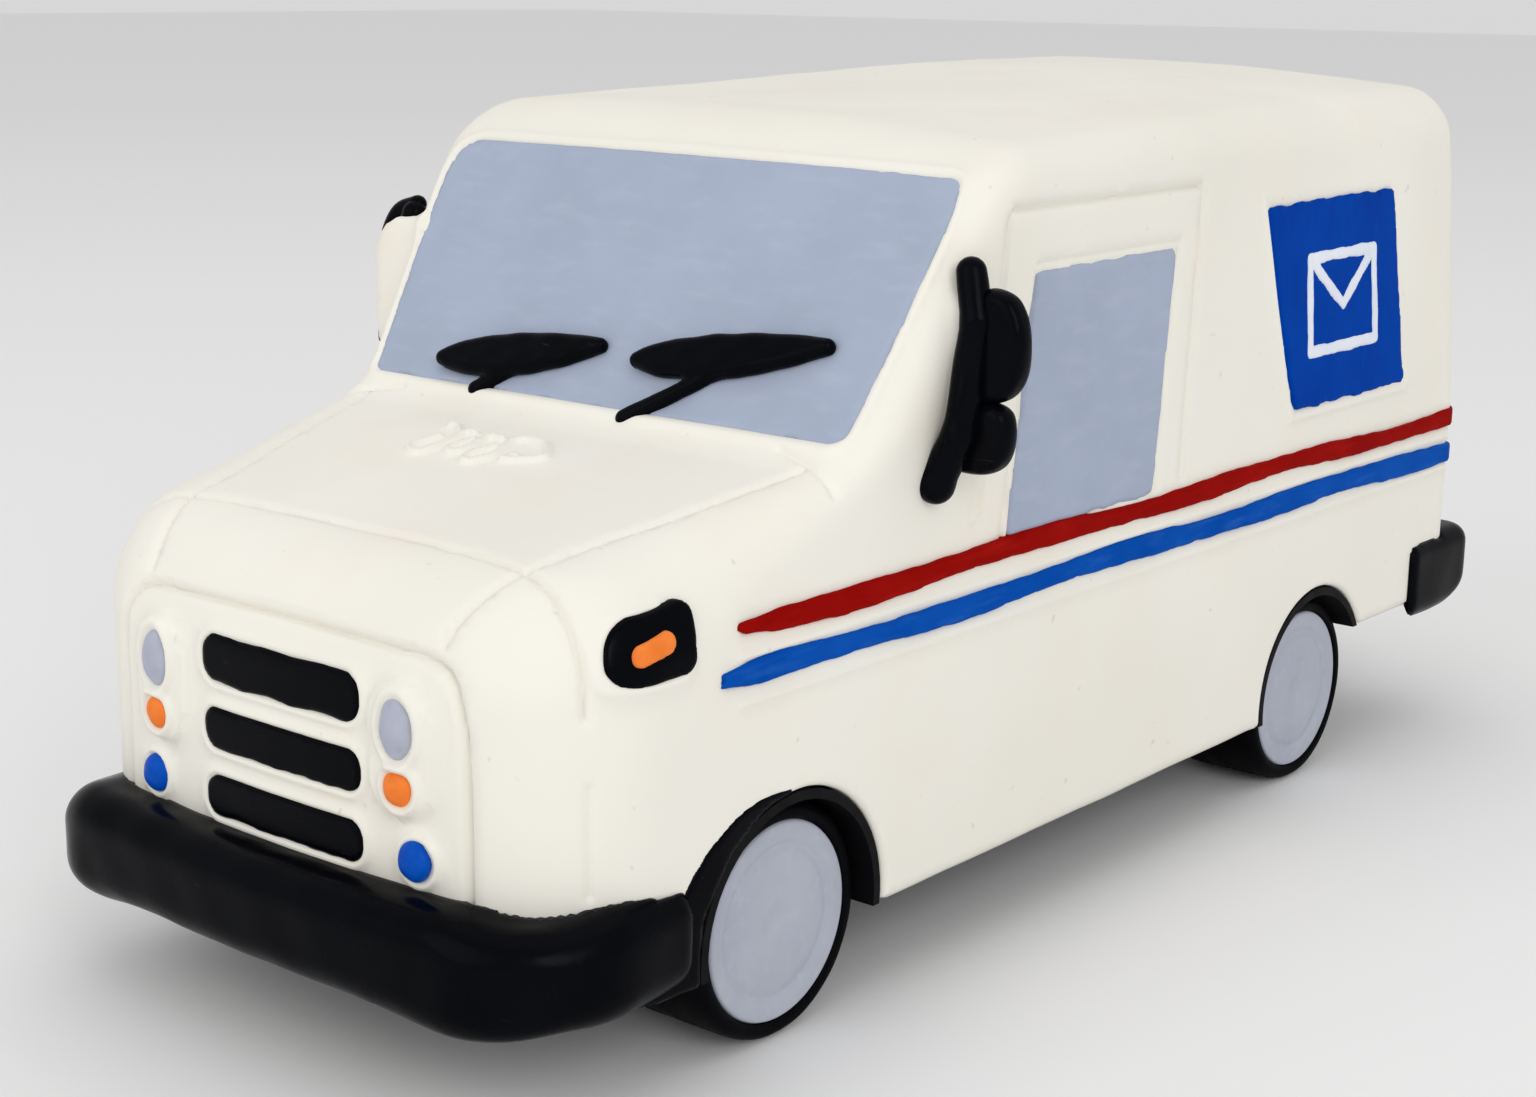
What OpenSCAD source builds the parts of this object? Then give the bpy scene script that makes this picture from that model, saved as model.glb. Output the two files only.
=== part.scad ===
// Toy mail delivery truck: a moulded shell on a chassis with free-rolling wheels.
// +X is forward, +Y is the vehicle's left, +Z is up. The origin is on the ground,
// under the middle of the overall length. All sizes are in millimetres.

/* [Overall] */
// Distance between the front and rear axles
wheelbase = 105; // [100:0.5:108]
// Front bumper face ahead of the front axle
front_reach = 38.9; // [38.5:0.1:42]
// Rear bumper face behind the rear axle
rear_reach = 44.5; // [44:0.1:47]
// Width across the body sides
body_w = 72; // [71:0.2:73]
// Height of the roof above the ground
roof_z = 89; // [88:0.5:92]

/* [Body shell] */
// Front panel ahead of the front axle
nose_reach = 33.4; // [33:0.1:34]
// Rear panel behind the rear axle
tail_reach = 37.4; // [37:0.1:38]
// Height of the sill above the ground
sill_z = 10.4; // [10:0.1:11]
// Height of the underside behind the rear wheels
tail_z = 18.4; // [18:0.1:19]
// Thickness of the moulded shell
wall = 2.2; // [2:0.1:2.4]
// Radius of the nose corners, seen from above
nose_r = 12; // [11:0.5:13]
// Radius of the hood's front edge, seen from the side
brow_r = 8; // [7:0.5:9]
// How far the ends of the bowed front panel lie behind its middle
nose_bow = 1.2; // [1:0.1:1.4]
// Radius of the roof edges at the rear
roof_r = 7; // [6:0.5:8]
// Radius of the roof edges above the windshield
roof_front_r = 5; // [4:0.5:6]
// How much lower the roof is above the windshield than at the rear
roof_fall = 2; // [1.5:0.1:2.4]
// Radius of the vertical rear corners
tail_r = 3; // [2.5:0.5:4]
// Height of the hood where it turns down into the nose
hood_z = 49.9; // [49.6:0.1:50.4]
// Height of the cowl, where the windshield starts
cowl_z = 56; // [55.6:0.1:56.4]
// Narrowing of the nose at each side, against the body side
nose_taper = 1.5; // [1.2:0.1:1.8]

/* [Windshield] */
// Lower edge of the windshield: distance behind the front axle
screen_back = 9.1; // [9:0.1:9.2]
// Lower edge of the windshield: height
screen_z = 57.2; // [57:0.1:57.4]
// Lean of the windshield from the vertical, in degrees
screen_lean = 32.3; // [32:0.1:32.6]
// Height of the pane along its slope
screen_h = 30; // [28:0.5:30]
// Half width of the pane at the bottom
screen_low = 32.8; // [32:0.1:33]
// Half width of the pane at the top
screen_high = 34; // [33:0.1:34.2]
// Thickness of the inset panes and trims
inset_t = 1; // [0.8:0.1:1.2]
// How far an inset pane stands proud
proud = 0.2; // [0.1:0.05:0.3]

/* [Wheels] */
// Radius of the tyre
tyre_r = 12; // [11.8:0.1:12.2]
// Width of the tyre
tyre_w = 13; // [12:0.5:13]
// Radius of the hub disc
hub_r = 10.1; // [9.5:0.1:10.2]
// Distance from the middle plane to the tyre's outer face
tyre_face = 33.6; // [33.4:0.1:33.8]
// Radius of the wheel arch in the body side
arch_r = 13.8; // [13.8:0.1:14.2]
// Radius of the steel axles
axle_r = 1.5; // [1.4:0.05:1.6]
// Radial clearance of an axle in its bearing tube
axle_play = 0.05; // [0.03:0.01:0.08]

/* [Bumpers] */
// Underside of the front bumper
bumper_low = 9.6; // [9.4:0.1:10]
// Top of the front bumper
bumper_top = 21.2; // [21:0.1:21.6]
// How far the front bumper's ends stand out from the body side
bumper_side = 1.6; // [1.4:0.1:2]
// Underside of the rear bumper
rear_bumper_low = 16.2; // [16:0.1:16.6]
// Top of the rear bumper
rear_bumper_top = 27.2; // [27:0.1:27.6]

/* [Mirrors] */
// Distance from the middle plane to the upright arm
mirror_y = 40.6; // [40.4:0.1:41]
// Outer edge of the mirror head
mirror_edge = 46.4; // [46:0.1:46.8]

/* [Hidden] */
left = 1;
right = -1;
top_bar = 0;
middle_bar = 1;
bottom_bar = 2;

half_w = body_w / 2;
front_axle_x = (wheelbase + rear_reach - front_reach) / 2;
rear_axle_x = front_axle_x - wheelbase;
axle_z = tyre_r;
nose_x = front_axle_x + nose_reach;
tail_x = rear_axle_x - tail_reach;
nose_half_w = half_w - nose_taper;
taper_x = front_axle_x + 11;
bow_half = 10;
cowl_r = 4;
screen_x = front_axle_x - screen_back;
roof_front_z = roof_z - roof_fall - roof_front_r;
roof_front_x = screen_x - (roof_front_z - screen_z) * tan(screen_lean) - roof_front_r / cos(screen_lean);

// Floor, wheel wells and bearings
fit_gap = 0.1;
floor_t = 2;
floor_top = sill_z + floor_t + fit_gap;
well_r = arch_r - 0.2;
well_t = 1;
well_in = tyre_face - tyre_w - 1.4;
well_out = half_w - 0.4;
well_wall = 0.8;
tube_r = 3.6;
step_x = rear_axle_x - 3;
boss_r = 3.2;
boss_h = 20;
boss_rib_t = 1.6;
screw_r = 1.2;
screw_head_r = 2.3;
screw_head_t = 1.2;
screw_grip = 8;
screw_points = [
    [front_axle_x + 18.5, 22], [front_axle_x + 18.5, -22],
    [rear_axle_x + 24, 29], [rear_axle_x + 24, -29]
];

// Lamps and grille on the front panel
lamp_y = 17.2;
headlamp_z = 36;
headlamp_size = [3.7, 5.7];
turn_z = 30.4;
turn_r = 1.6;
marker_y = 18.6;
marker_z = 23.6;
marker_r = 1.8;
bezel = [[13.3, 27.7], [21.1, 40]];
bezel_t = 0.5;
bar_half = 11;
bar_z = [37.6, 30.7, 23.9];
bar_h = [4.7, 4, 4];
lens_out = 0.7;

// Trims on the sides
door_window = [[-7, 44.8], [21.9, 72.4]];
sign_pts = [[-39.3, 50], [-29, 75.1], [-65.2, 75.1], [-69.8, 50]];
stripe_front = front_axle_x + 10;
stripe_t = 0.6;
stripe_h = 2.2;
red_z = 43.6;
blue_z = 39;
marker_box = [[front_axle_x + 14.8, 40.8], [front_axle_x + 24.4, 47.2]];
marker_lens = [[front_axle_x + 18, 43], [front_axle_x + 23, 44.9]];
housing_out = 0.6;
marker_lens_out = 1.1;
emblem_c = [-51, 62.5];
emblem_size = [19, 12.5];
emblem_line = 1.6;
emblem_t = 0.3;

// Wipers: the blades and arms rise to the vehicle's left, in degrees
wiper_rise = 10.5;
wiper_arm_rise = 32;
wiper_arm_l = 9.5;

// Mirrors
arm_r = 1.5;
arm_x = front_axle_x - 20.6;
arm_low = 52;
arm_high = 73.6;
stay_z = 71;
web_z = [55, 69];
head_z = [61, 72.2];
spot_z = 57;
spot_r = 3.3;
head_t = 2.6;

// Tail
tail_lamp_y = 28.5;
tail_lamp_z = 36;
tail_lamp_r = 2.4;
door_half = 24.5;
door_z = [31, 80];
slat_pitch = 7;

arc_steps = 6;

// ---- Outlines -------------------------------------------------------------

function unit(v) = v / norm(v);
function flat(p) = [p[0], p[1]];
// Arc that rounds the corner q, given as [x, y, radius], between p and s
function corner_arc(p, q, s) =
    let (a = unit(flat(p) - flat(q)), b = unit(flat(s) - flat(q)))
    let (half = acos(a * b) / 2, centre = flat(q) + unit(a + b) * q[2] / sin(half))
    let (from = flat(q) + a * q[2] / tan(half) - centre, to = flat(q) + b * q[2] / tan(half) - centre)
    let (start = atan2(from[1], from[0]))
    let (sweep = (atan2(to[1], to[0]) - start + 540) % 360 - 180)
    [for (i = [0:arc_steps]) centre + q[2] * [cos(start + sweep * i / arc_steps), sin(start + sweep * i / arc_steps)]];
// Outline through corners [x, y, radius]; a radius of 0 keeps the corner sharp
function rounded(pts) = [
    for (i = [0:len(pts) - 1])
        let (p = pts[(i + len(pts) - 1) % len(pts)], q = pts[i], s = pts[(i + 1) % len(pts)])
            each (q[2] == 0 ? [flat(q)] : corner_arc(p, q, s))
];
function rounded_box(low, high, r) =
    rounded([[low[0], low[1], r], [high[0], low[1], r], [high[0], high[1], r], [low[0], high[1], r]]);

// An outline in X and Z, extruded from y0 to y1
module across(y0, y1) {
    translate([0, y1, 0]) rotate([90, 0, 0]) linear_extrude(y1 - y0) children();
}
// An outline in Y and Z, extruded from x0 to x1
module along(x0, x1) {
    translate([x0, 0, 0]) rotate([90, 0, 90]) linear_extrude(x1 - x0) children();
}
// The same piece on the left side or, mirrored, on the right side
module on_side(side) {
    mirror([0, side < 0 ? 1 : 0, 0]) children();
}
// A frame on the windshield: X runs to the left, Y up the pane and Z outwards
module on_screen() {
    translate([screen_x, 0, screen_z]) rotate([0, -screen_lean, 0]) rotate([90, 0, 90]) children();
}
// A wheel-shaped solid on an axle line: the profile is radius against Y
module wheel_form(x) {
    translate([x, 0, axle_z]) rotate([-90, 0, 0]) rotate_extrude($fn = 72) children();
}
module cross_axle(x, r, y0, y1) {
    translate([x, y0, axle_z]) rotate([-90, 0, 0]) cylinder(r = r, h = y1 - y0, $fn = 48);
}

// ---- Body form ------------------------------------------------------------

// Plan of the body at the sill
module plan_outline() {
    polygon(rounded([
        [tail_x, -half_w, tail_r], [taper_x, -half_w, 20], [nose_x - nose_bow, -nose_half_w, nose_r],
        [nose_x, -bow_half, 20], [nose_x, bow_half, 20],
        [nose_x - nose_bow, nose_half_w, nose_r], [taper_x, half_w, 20], [tail_x, half_w, tail_r]
    ]));
}
module plan_slab(inset, foot, x0, x1) {
    // Upright up to the chassis floor's top, so the floor clears the wall
    translate([0, 0, foot]) linear_extrude(floor_top - foot) intersection() {
        offset(delta = -inset) plan_outline();
        translate([x0, -half_w]) square([x1 - x0, body_w]);
    }
}
module ball_pair(x, y, z, r) {
    for (s = [-1, 1]) translate([x, s * y, z]) sphere(r = r, $fn = 28);
}
// Cab and load space; inset shrinks every face, and foot is the lowest level
module cab_form(inset, foot) {
    hull() {
        plan_slab(inset, foot, tail_x + inset, screen_x + 2 - inset);
        ball_pair(tail_x + roof_r - 1, half_w - roof_r, roof_z - roof_r + 1, roof_r - 1 - inset);
        ball_pair(roof_front_x, half_w - roof_front_r, roof_front_z, roof_front_r - inset);
        translate([screen_x - cowl_r * cos(screen_lean), 0, screen_z - cowl_r * sin(screen_lean)]) rotate([90, 0, 0])
            cylinder(r = cowl_r - inset, h = body_w - 2 * inset, center = true, $fn = 24);
    }
}
// Hood, fenders and front panel
module hood_form(inset, foot) {
    hull() {
        plan_slab(inset, foot, 0, nose_x - inset);
        ball_pair(nose_x - brow_r, bow_half, hood_z - brow_r, brow_r - inset);
        for (s = [-1, 1])
            translate([nose_x - nose_bow - nose_r, s * (nose_half_w - nose_r), hood_z - brow_r])
                rotate_extrude($fn = 32) rim_profile(nose_r - inset, brow_r - inset);
        ball_pair(screen_x, half_w - cowl_r, cowl_z - cowl_r, cowl_r - inset);
    }
}

// ---- Root body ------------------------------------------------------------

module front_trim_pockets() {
    along(nose_x - inset_t, nose_x + 3) for (i = [0:2]) bar_outline(i);
    for (s = [left, right]) on_side(s) along(nose_x - inset_t, nose_x + 3) {
        headlamp_outline();
        turn_outline();
        marker_outline();
    }
}
module side_trim_pockets() {
    for (s = [left, right]) on_side(s) {
        across(half_w - inset_t, half_w + 3) {
            polygon(rounded_box(door_window[0], door_window[1], 1));
            polygon(sign_pts);
        }
        across(half_w - stripe_t + proud, half_w + 3) {
            stripe_outline(red_z);
            stripe_outline(blue_z);
        }
    }
}
module rear_relief() {
    // Frame and slats of the roll-up door, as shallow grooves
    along(tail_x - 1, tail_x + 0.5) difference() {
        square_between([-door_half, door_z[0]], [door_half, door_z[1]]);
        square_between([-door_half + 1, door_z[0]], [door_half - 1, door_z[1] - 1]);
    }
    for (z = [door_z[0] + slat_pitch : slat_pitch : door_z[1] - slat_pitch / 2])
        along(tail_x - 1, tail_x + 0.4) square_between([-door_half + 1, z], [door_half - 1, z + 0.6]);
}
module square_between(low, high) {
    translate(low) square([high[0] - low[0], high[1] - low[1]]);
}
module mirror_web() {
    // Thin moulded fin between the body side and the mirror arm
    translate([arm_x - 1, half_w - wall, web_z[0]])
        cube([2, mirror_y - half_w + wall - arm_r + 0.2, web_z[1] - web_z[0]]);
}

module body_shell() {
    color("ivory") {
        difference() {
            union() {
                cab_form(0, sill_z);
                hood_form(0, sill_z);
                for (s = [left, right]) on_side(s) {
                    along(nose_x - 1, nose_x + bezel_t) polygon(rounded_box(bezel[0], bezel[1], 3.6));
                    mirror_web();
                }
            }
            cab_form(wall, -5);
            hood_form(wall, -5);
            translate([tail_x - 1, -half_w - 1, 0]) cube([step_x - tail_x + 1, body_w + 2, tail_z]);
            for (x = [front_axle_x, rear_axle_x])
                cross_axle(x, arch_r, -half_w - 1, half_w + 1);
            front_trim_pockets();
            side_trim_pockets();
            for (s = [left, right]) on_side(s) mirror_arm_solid();
            intersection() {
                for (s = [left, right]) on_side(s) across(20, 40) marker_outline_side();
                difference() {
                    translate([0, -60, 0]) cube([120, 120, 120]);
                    hood_form(inset_t, sill_z);
                }
            }
            on_screen() translate([0, 0, -inset_t]) linear_extrude(5) screen_outline();
            for (s = [left, right]) on_side(s)
                along(tail_x - 2, tail_x + inset_t) tail_lamp_outline();
            rear_relief();
        }
        for (p = screw_points) screw_boss(p);
    }
}
module screw_boss(p) {
    // Post for a chassis screw, tied to the nearest wall by a rib
    side = p[1] > 0 ? 1 : -1;
    reach = half_w - wall;
    difference() {
        union() {
            translate([p[0], p[1], floor_top]) cylinder(r = boss_r, h = boss_h, $fn = 48);
            translate([p[0] - boss_rib_t / 2, side > 0 ? p[1] : -reach, floor_top])
                cube([boss_rib_t, reach - abs(p[1]), boss_h - 2]);
        }
        translate([p[0], p[1], sill_z]) cylinder(r = screw_r, h = screw_grip + floor_t + 1, $fn = 32);
    }
}

module chassis_base() {
    floor_end = nose_x - wall - fit_gap;
    color("#1a1a1c") difference() {
        union() {
            intersection() {
                translate([0, 0, sill_z]) linear_extrude(floor_t) offset(delta = -wall - fit_gap) plan_outline();
                translate([step_x - 1, -half_w, 0]) cube([floor_end - step_x + 2, body_w, 30]);
            }
            rear_floor();
            for (x = [front_axle_x, rear_axle_x]) {
                cross_axle(x, tube_r, -well_in - 0.5, well_in + 0.5);
                for (s = [left, right]) on_side(s) intersection() {
                    cross_axle(x, well_r, well_in, well_out);
                    translate([x - 20, 0, sill_z]) cube([40, 40, 30]);
                }
                for (s = [left, right]) on_side(s) cross_axle(x, tube_r + 2, well_in, well_in + well_wall);
            }
        }
        for (x = [front_axle_x, rear_axle_x]) {
            for (s = [left, right]) on_side(s)
                cross_axle(x, well_r - well_t, well_in + well_wall, half_w + 1);
            cross_axle(x, axle_r + axle_play, -half_w, half_w);
        }
        translate([tail_x, -half_w, -1]) cube([step_x - floor_t - tail_x, body_w, tail_z + 1]);
        for (p = screw_points) translate([p[0], p[1], 0]) {
            cylinder(r = screw_r + 0.2, h = sill_z + floor_t + 1, $fn = 32);
            cylinder(r = screw_head_r + 0.2, h = sill_z + screw_head_t, $fn = 32);
        }
    }
}
module rear_floor() {
    // Raised floor behind the rear wells, joined to the main floor by a riser
    intersection() {
        translate([0, 0, sill_z]) linear_extrude(20) offset(delta = -wall - fit_gap) plan_outline();
        union() {
            translate([tail_x, -half_w, tail_z]) cube([step_x - tail_x, body_w, floor_t]);
            translate([step_x - floor_t, -half_w, sill_z]) cube([floor_t, body_w, tail_z - sill_z + floor_t]);
        }
    }
}
module chassis_screws() {
    color("silver") for (p = screw_points) translate([p[0], p[1], sill_z]) difference() {
        union() {
            translate([0, 0, 0.1]) cylinder(r = screw_head_r, h = screw_head_t - 0.1, $fn = 32);
            translate([0, 0, screw_head_t - 0.1]) cylinder(r = screw_r, h = screw_grip, $fn = 32);
        }
        for (a = [0, 90]) rotate([0, 0, a]) translate([-1.4, -0.3, -1]) cube([2.8, 0.6, 1.6]);
    }
}

module front_bumper() {
    edge_r = 3;
    corner_r = 13;
    end_x = front_axle_x + 15;
    bumper_x = front_axle_x + front_reach;
    color("#1a1a1c") difference() {
        hull() for (z = [bumper_low + edge_r, bumper_top - edge_r], s = [-1, 1]) {
            translate([bumper_x - corner_r, s * bow_half, z]) rotate_extrude($fn = 32) rim_profile(corner_r, edge_r);
            translate([bumper_x - 2 - corner_r, s * (half_w + bumper_side - corner_r), z])
                rotate_extrude($fn = 32) rim_profile(corner_r, edge_r);
            translate([end_x + 2, s * (half_w + bumper_side - edge_r), z]) sphere(r = edge_r, $fn = 24);
        }
        linear_extrude(60) offset(delta = 0.05) plan_outline();
        translate([end_x - 30, -60, 0]) cube([30, 120, 60]);
    }
}
module rim_profile(r, edge) {
    // Half section of a disc with a rounded rim
    intersection() {
        union() {
            translate([r - edge, 0]) circle(r = edge, $fn = 32);
            translate([0, -edge]) square([r - edge, 2 * edge]);
        }
        translate([0, -edge]) square([r, 2 * edge]);
    }
}
module rear_bumper() {
    edge_r = 2.5;
    start_x = rear_axle_x - 24.8;
    bumper_x = rear_axle_x - rear_reach;
    color("#1a1a1c") difference() {
        hull() for (z = [rear_bumper_low + edge_r, rear_bumper_top - edge_r], s = [-1, 1]) {
            translate([bumper_x + 5, s * (half_w + 1 - 5), z]) rotate_extrude($fn = 32) rim_profile(5, edge_r);
            translate([start_x - 2, s * (half_w + 1 - edge_r), z]) sphere(r = edge_r, $fn = 24);
        }
        linear_extrude(60) offset(delta = 0.05) plan_outline();
    }
}

module screen_outline() {
    polygon(rounded([
        [-screen_low, 0, 1], [screen_low, 0, 1], [screen_high, screen_h, 1], [-screen_high, screen_h, 1]
    ]));
}
module windshield() {
    color("#a3afc6") on_screen() translate([0, 0, -inset_t]) linear_extrude(inset_t + proud) screen_outline();
}
module door_window(side) {
    color("#a3afc6") on_side(side) across(half_w - inset_t, half_w + proud)
        polygon(rounded_box(door_window[0], door_window[1], 1));
}

module bar_outline(i) {
    polygon(rounded_box([-bar_half, bar_z[i] - bar_h[i] / 2], [bar_half, bar_z[i] + bar_h[i] / 2], 1.8));
}
module grille_bar(i) {
    color("#1a1a1c") along(nose_x - inset_t, nose_x + proud) bar_outline(i);
}
module headlamp_outline() {
    translate([lamp_y, headlamp_z]) polygon(rounded_box(-headlamp_size / 2, headlamp_size / 2, 1.8));
}
module turn_outline() {
    translate([lamp_y, turn_z]) circle(r = turn_r, $fn = 32);
}
module marker_outline() {
    translate([marker_y, marker_z]) circle(r = marker_r, $fn = 32);
}
module headlamp(side) {
    color("#a9abb4") on_side(side) along(nose_x - inset_t, nose_x + bezel_t + lens_out) headlamp_outline();
}
module turn_lamp(side) {
    color("#f07a2c") on_side(side) along(nose_x - inset_t, nose_x + bezel_t + lens_out) turn_outline();
}
module marker_lamp(side) {
    color("#1257c4") on_side(side) along(nose_x - inset_t, nose_x + lens_out) marker_outline();
}

module marker_outline_side() {
    polygon(rounded_box(marker_box[0], marker_box[1], 2));
}
module side_marker_housing(side) {
    color("#1a1a1c") on_side(side) intersection() {
        across(20, 40) marker_outline_side();
        difference() {
            hood_form(-housing_out, sill_z);
            hood_form(inset_t, sill_z);
        }
    }
}
module side_marker_lens(side) {
    color("#f07a2c") on_side(side) intersection() {
        across(20, 40) polygon(rounded_box(marker_lens[0], marker_lens[1], 0.9));
        difference() {
            hood_form(-marker_lens_out, sill_z);
            hood_form(-housing_out, sill_z);
        }
    }
}

module wiper(side) {
    // Arm from a pivot by the cowl, and a leaf-shaped blade across the lower pane
    pivot = side > 0 ? [5.6, 0.4] : [-16.4, 0.6];
    root = side > 0 ? [4.6, 5.4] : [-23, 2.4];
    blade_l = 23.4;
    color("#1a1a1c") on_screen() translate([0, 0, proud + 0.1]) linear_extrude(1.4) {
        translate(root) rotate(wiper_rise) polygon(rounded([
            [0, -1, 0.8], [6, -2.2, 4], [blade_l, 0, 0.5], [blade_l, 0.9, 0.4], [9, 2, 6], [1, 1.2, 0.8]
        ]));
        translate(pivot) rotate(wiper_arm_rise) polygon(rounded([
            [0, -0.9, 0.7], [wiper_arm_l, -0.5, 0.4], [wiper_arm_l, 0.5, 0.4], [0, 0.9, 0.7]
        ]));
    }
}

module mirror_arm_solid() {
    translate([arm_x, mirror_y, arm_low]) cylinder(r = arm_r, h = arm_high - arm_low, $fn = 32);
    for (z = [arm_low, arm_high]) translate([arm_x, mirror_y, z]) sphere(r = arm_r, $fn = 32);
    for (z = [arm_low, stay_z]) translate([arm_x, half_w - 1.2, z]) rotate([-90, 0, 0])
        cylinder(r = 1.3, h = mirror_y - half_w + 1.2, $fn = 32);
}
module mirror_arm(side) {
    color("#1a1a1c") on_side(side) mirror_arm_solid();
}
module mirror_head(side) {
    color("#1a1a1c") on_side(side) difference() {
        along(arm_x - head_t / 2, arm_x + head_t / 2)
            polygon(rounded_box([mirror_y + 0.4, head_z[0]], [mirror_edge, head_z[1]], 2.4));
        mirror_arm_solid();
    }
}
module mirror_spot(side) {
    color("#1a1a1c") on_side(side) difference() {
        translate([arm_x - head_t / 2, mirror_y + 2, spot_z]) rotate([0, 90, 0])
            cylinder(r = spot_r, h = head_t, $fn = 48);
        translate([arm_x - 5, mirror_y - 9.6, spot_z - 5]) cube(10);
        mirror_arm_solid();
    }
}

module mail_sign(side) {
    color("#1257b4") on_side(side) across(half_w - inset_t, half_w + proud) polygon(sign_pts);
}
module mail_emblem(side) {
    // Plain envelope: a rectangular line with a folded flap
    w = emblem_size[0] / 2;
    h = emblem_size[1] / 2;
    t = emblem_line;
    color("white") on_side(side) translate([emblem_c[0], 0, emblem_c[1]])
        across(half_w + proud, half_w + proud + emblem_t) {
            difference() {
                square_between([-w, -h], [w, h]);
                square_between([-w + t, -h + t], [w - t, h - t]);
            }
            polygon([[-w, h], [0, -t], [w, h], [w - 1.4 * t, h], [0, t - 0.4], [-w + 1.4 * t, h]]);
        }
}
module stripe_outline(z) {
    square_between([tail_x + tail_r, z - stripe_h / 2], [stripe_front, z + stripe_h / 2]);
}
module stripe(side, z, colour) {
    color(colour) on_side(side) across(half_w - stripe_t + proud, half_w + proud) stripe_outline(z);
}
module tail_lamp_outline() {
    translate([tail_lamp_y, tail_lamp_z]) circle(r = tail_lamp_r, $fn = 48);
}
module tail_lamp(side) {
    color("#9c1414") on_side(side) along(tail_x - lens_out, tail_x + inset_t) tail_lamp_outline();
}

// ---- Rolling parts --------------------------------------------------------

hub_in = tyre_face - tyre_w + 1;
axle_end = tyre_face - 2.5;
module axle(x) {
    color("silver") cross_axle(x, axle_r, -axle_end, axle_end);
}
module hub(x, side) {
    color("#a9adb9") on_side(side) wheel_form(x) difference() {
        polygon(rounded([
            [0, hub_in, 0], [hub_r, hub_in, 0], [hub_r, tyre_face + 0.1, 0.4], [7.9, tyre_face - 0.1, 0.3],
            [7.5, tyre_face - 0.5, 0.3], [1.4, tyre_face - 0.3, 0.3], [0, tyre_face - 0.7, 0]
        ]));
        translate([0, hub_in - 1]) square([axle_r, axle_end - hub_in + 1]);
    }
}
module tyre(x, side) {
    color("#1a1a1c") on_side(side) wheel_form(x) polygon(rounded([
        [hub_r, tyre_face - tyre_w, 0], [tyre_r, tyre_face - tyre_w, 1.2],
        [tyre_r, tyre_face, 1.8], [hub_r, tyre_face, 0]
    ]));
}

body_shell();
chassis_base();
chassis_screws();
front_bumper();
rear_bumper();
windshield();
door_window(left);  // door_window_left
door_window(right);  // door_window_right
grille_bar(top_bar);  // grille_bar_top
grille_bar(middle_bar);  // grille_bar_middle
grille_bar(bottom_bar);  // grille_bar_bottom
headlamp(left);  // headlamp_left
headlamp(right);  // headlamp_right
turn_lamp(left);  // turn_lamp_left
turn_lamp(right);  // turn_lamp_right
marker_lamp(left);  // marker_lamp_left
marker_lamp(right);  // marker_lamp_right
side_marker_housing(left);  // side_marker_housing_left
side_marker_housing(right);  // side_marker_housing_right
side_marker_lens(left);  // side_marker_lens_left
side_marker_lens(right);  // side_marker_lens_right
wiper(left);  // wiper_left
wiper(right);  // wiper_right
mirror_arm(left);  // mirror_arm_left
mirror_arm(right);  // mirror_arm_right
mirror_head(left);  // mirror_head_left
mirror_head(right);  // mirror_head_right
mirror_spot(left);  // mirror_spot_left
mirror_spot(right);  // mirror_spot_right
mail_sign(left);  // mail_sign_left
mail_sign(right);  // mail_sign_right
mail_emblem(left);  // mail_emblem_left
mail_emblem(right);  // mail_emblem_right
stripe(left, red_z, "#a5181c");  // stripe_red_left
stripe(right, red_z, "#a5181c");  // stripe_red_right
stripe(left, blue_z, "#1257b4");  // stripe_blue_left
stripe(right, blue_z, "#1257b4");  // stripe_blue_right
tail_lamp(left);  // tail_lamp_left
tail_lamp(right);  // tail_lamp_right
axle(front_axle_x);  // front_axle
hub(front_axle_x, left);  // front_hub_left
hub(front_axle_x, right);  // front_hub_right
tyre(front_axle_x, left);  // front_tyre_left
tyre(front_axle_x, right);  // front_tyre_right
axle(rear_axle_x);  // rear_axle
hub(rear_axle_x, left);  // rear_hub_left
hub(rear_axle_x, right);  // rear_hub_right
tyre(rear_axle_x, left);  // rear_tyre_left
tyre(rear_axle_x, right);  // rear_tyre_right
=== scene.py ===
"""Toy mail delivery truck: a soft moulded shell with hand-painted trims, on wheels with steel axles.

Shapes are signed distance fields in millimetres (negative inside), meshed by surface nets, and every
piece is scaled to metres as it becomes a Blender object. +X is forward, +Y the vehicle's left, +Z up.
"""

import math

import bmesh
import bpy
import numpy as np
from mathutils import Matrix, Vector


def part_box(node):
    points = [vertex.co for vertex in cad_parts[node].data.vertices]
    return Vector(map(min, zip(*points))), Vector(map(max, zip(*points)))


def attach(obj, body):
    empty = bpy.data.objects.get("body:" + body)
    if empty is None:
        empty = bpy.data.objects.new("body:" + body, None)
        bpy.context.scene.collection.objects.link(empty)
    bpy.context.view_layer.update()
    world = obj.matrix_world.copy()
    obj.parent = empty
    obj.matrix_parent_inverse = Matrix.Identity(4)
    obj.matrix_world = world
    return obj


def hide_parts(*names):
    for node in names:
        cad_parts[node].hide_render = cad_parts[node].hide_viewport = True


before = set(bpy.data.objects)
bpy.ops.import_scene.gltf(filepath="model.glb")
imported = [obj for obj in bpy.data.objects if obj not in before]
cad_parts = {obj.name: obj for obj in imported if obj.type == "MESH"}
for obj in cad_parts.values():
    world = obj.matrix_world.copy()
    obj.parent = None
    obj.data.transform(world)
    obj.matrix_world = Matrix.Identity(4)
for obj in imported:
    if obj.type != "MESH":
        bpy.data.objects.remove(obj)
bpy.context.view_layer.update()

MM = 0.001

# ---- Driving dimensions in millimetres, from the frame where a CAD node gives them -----------


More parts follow.
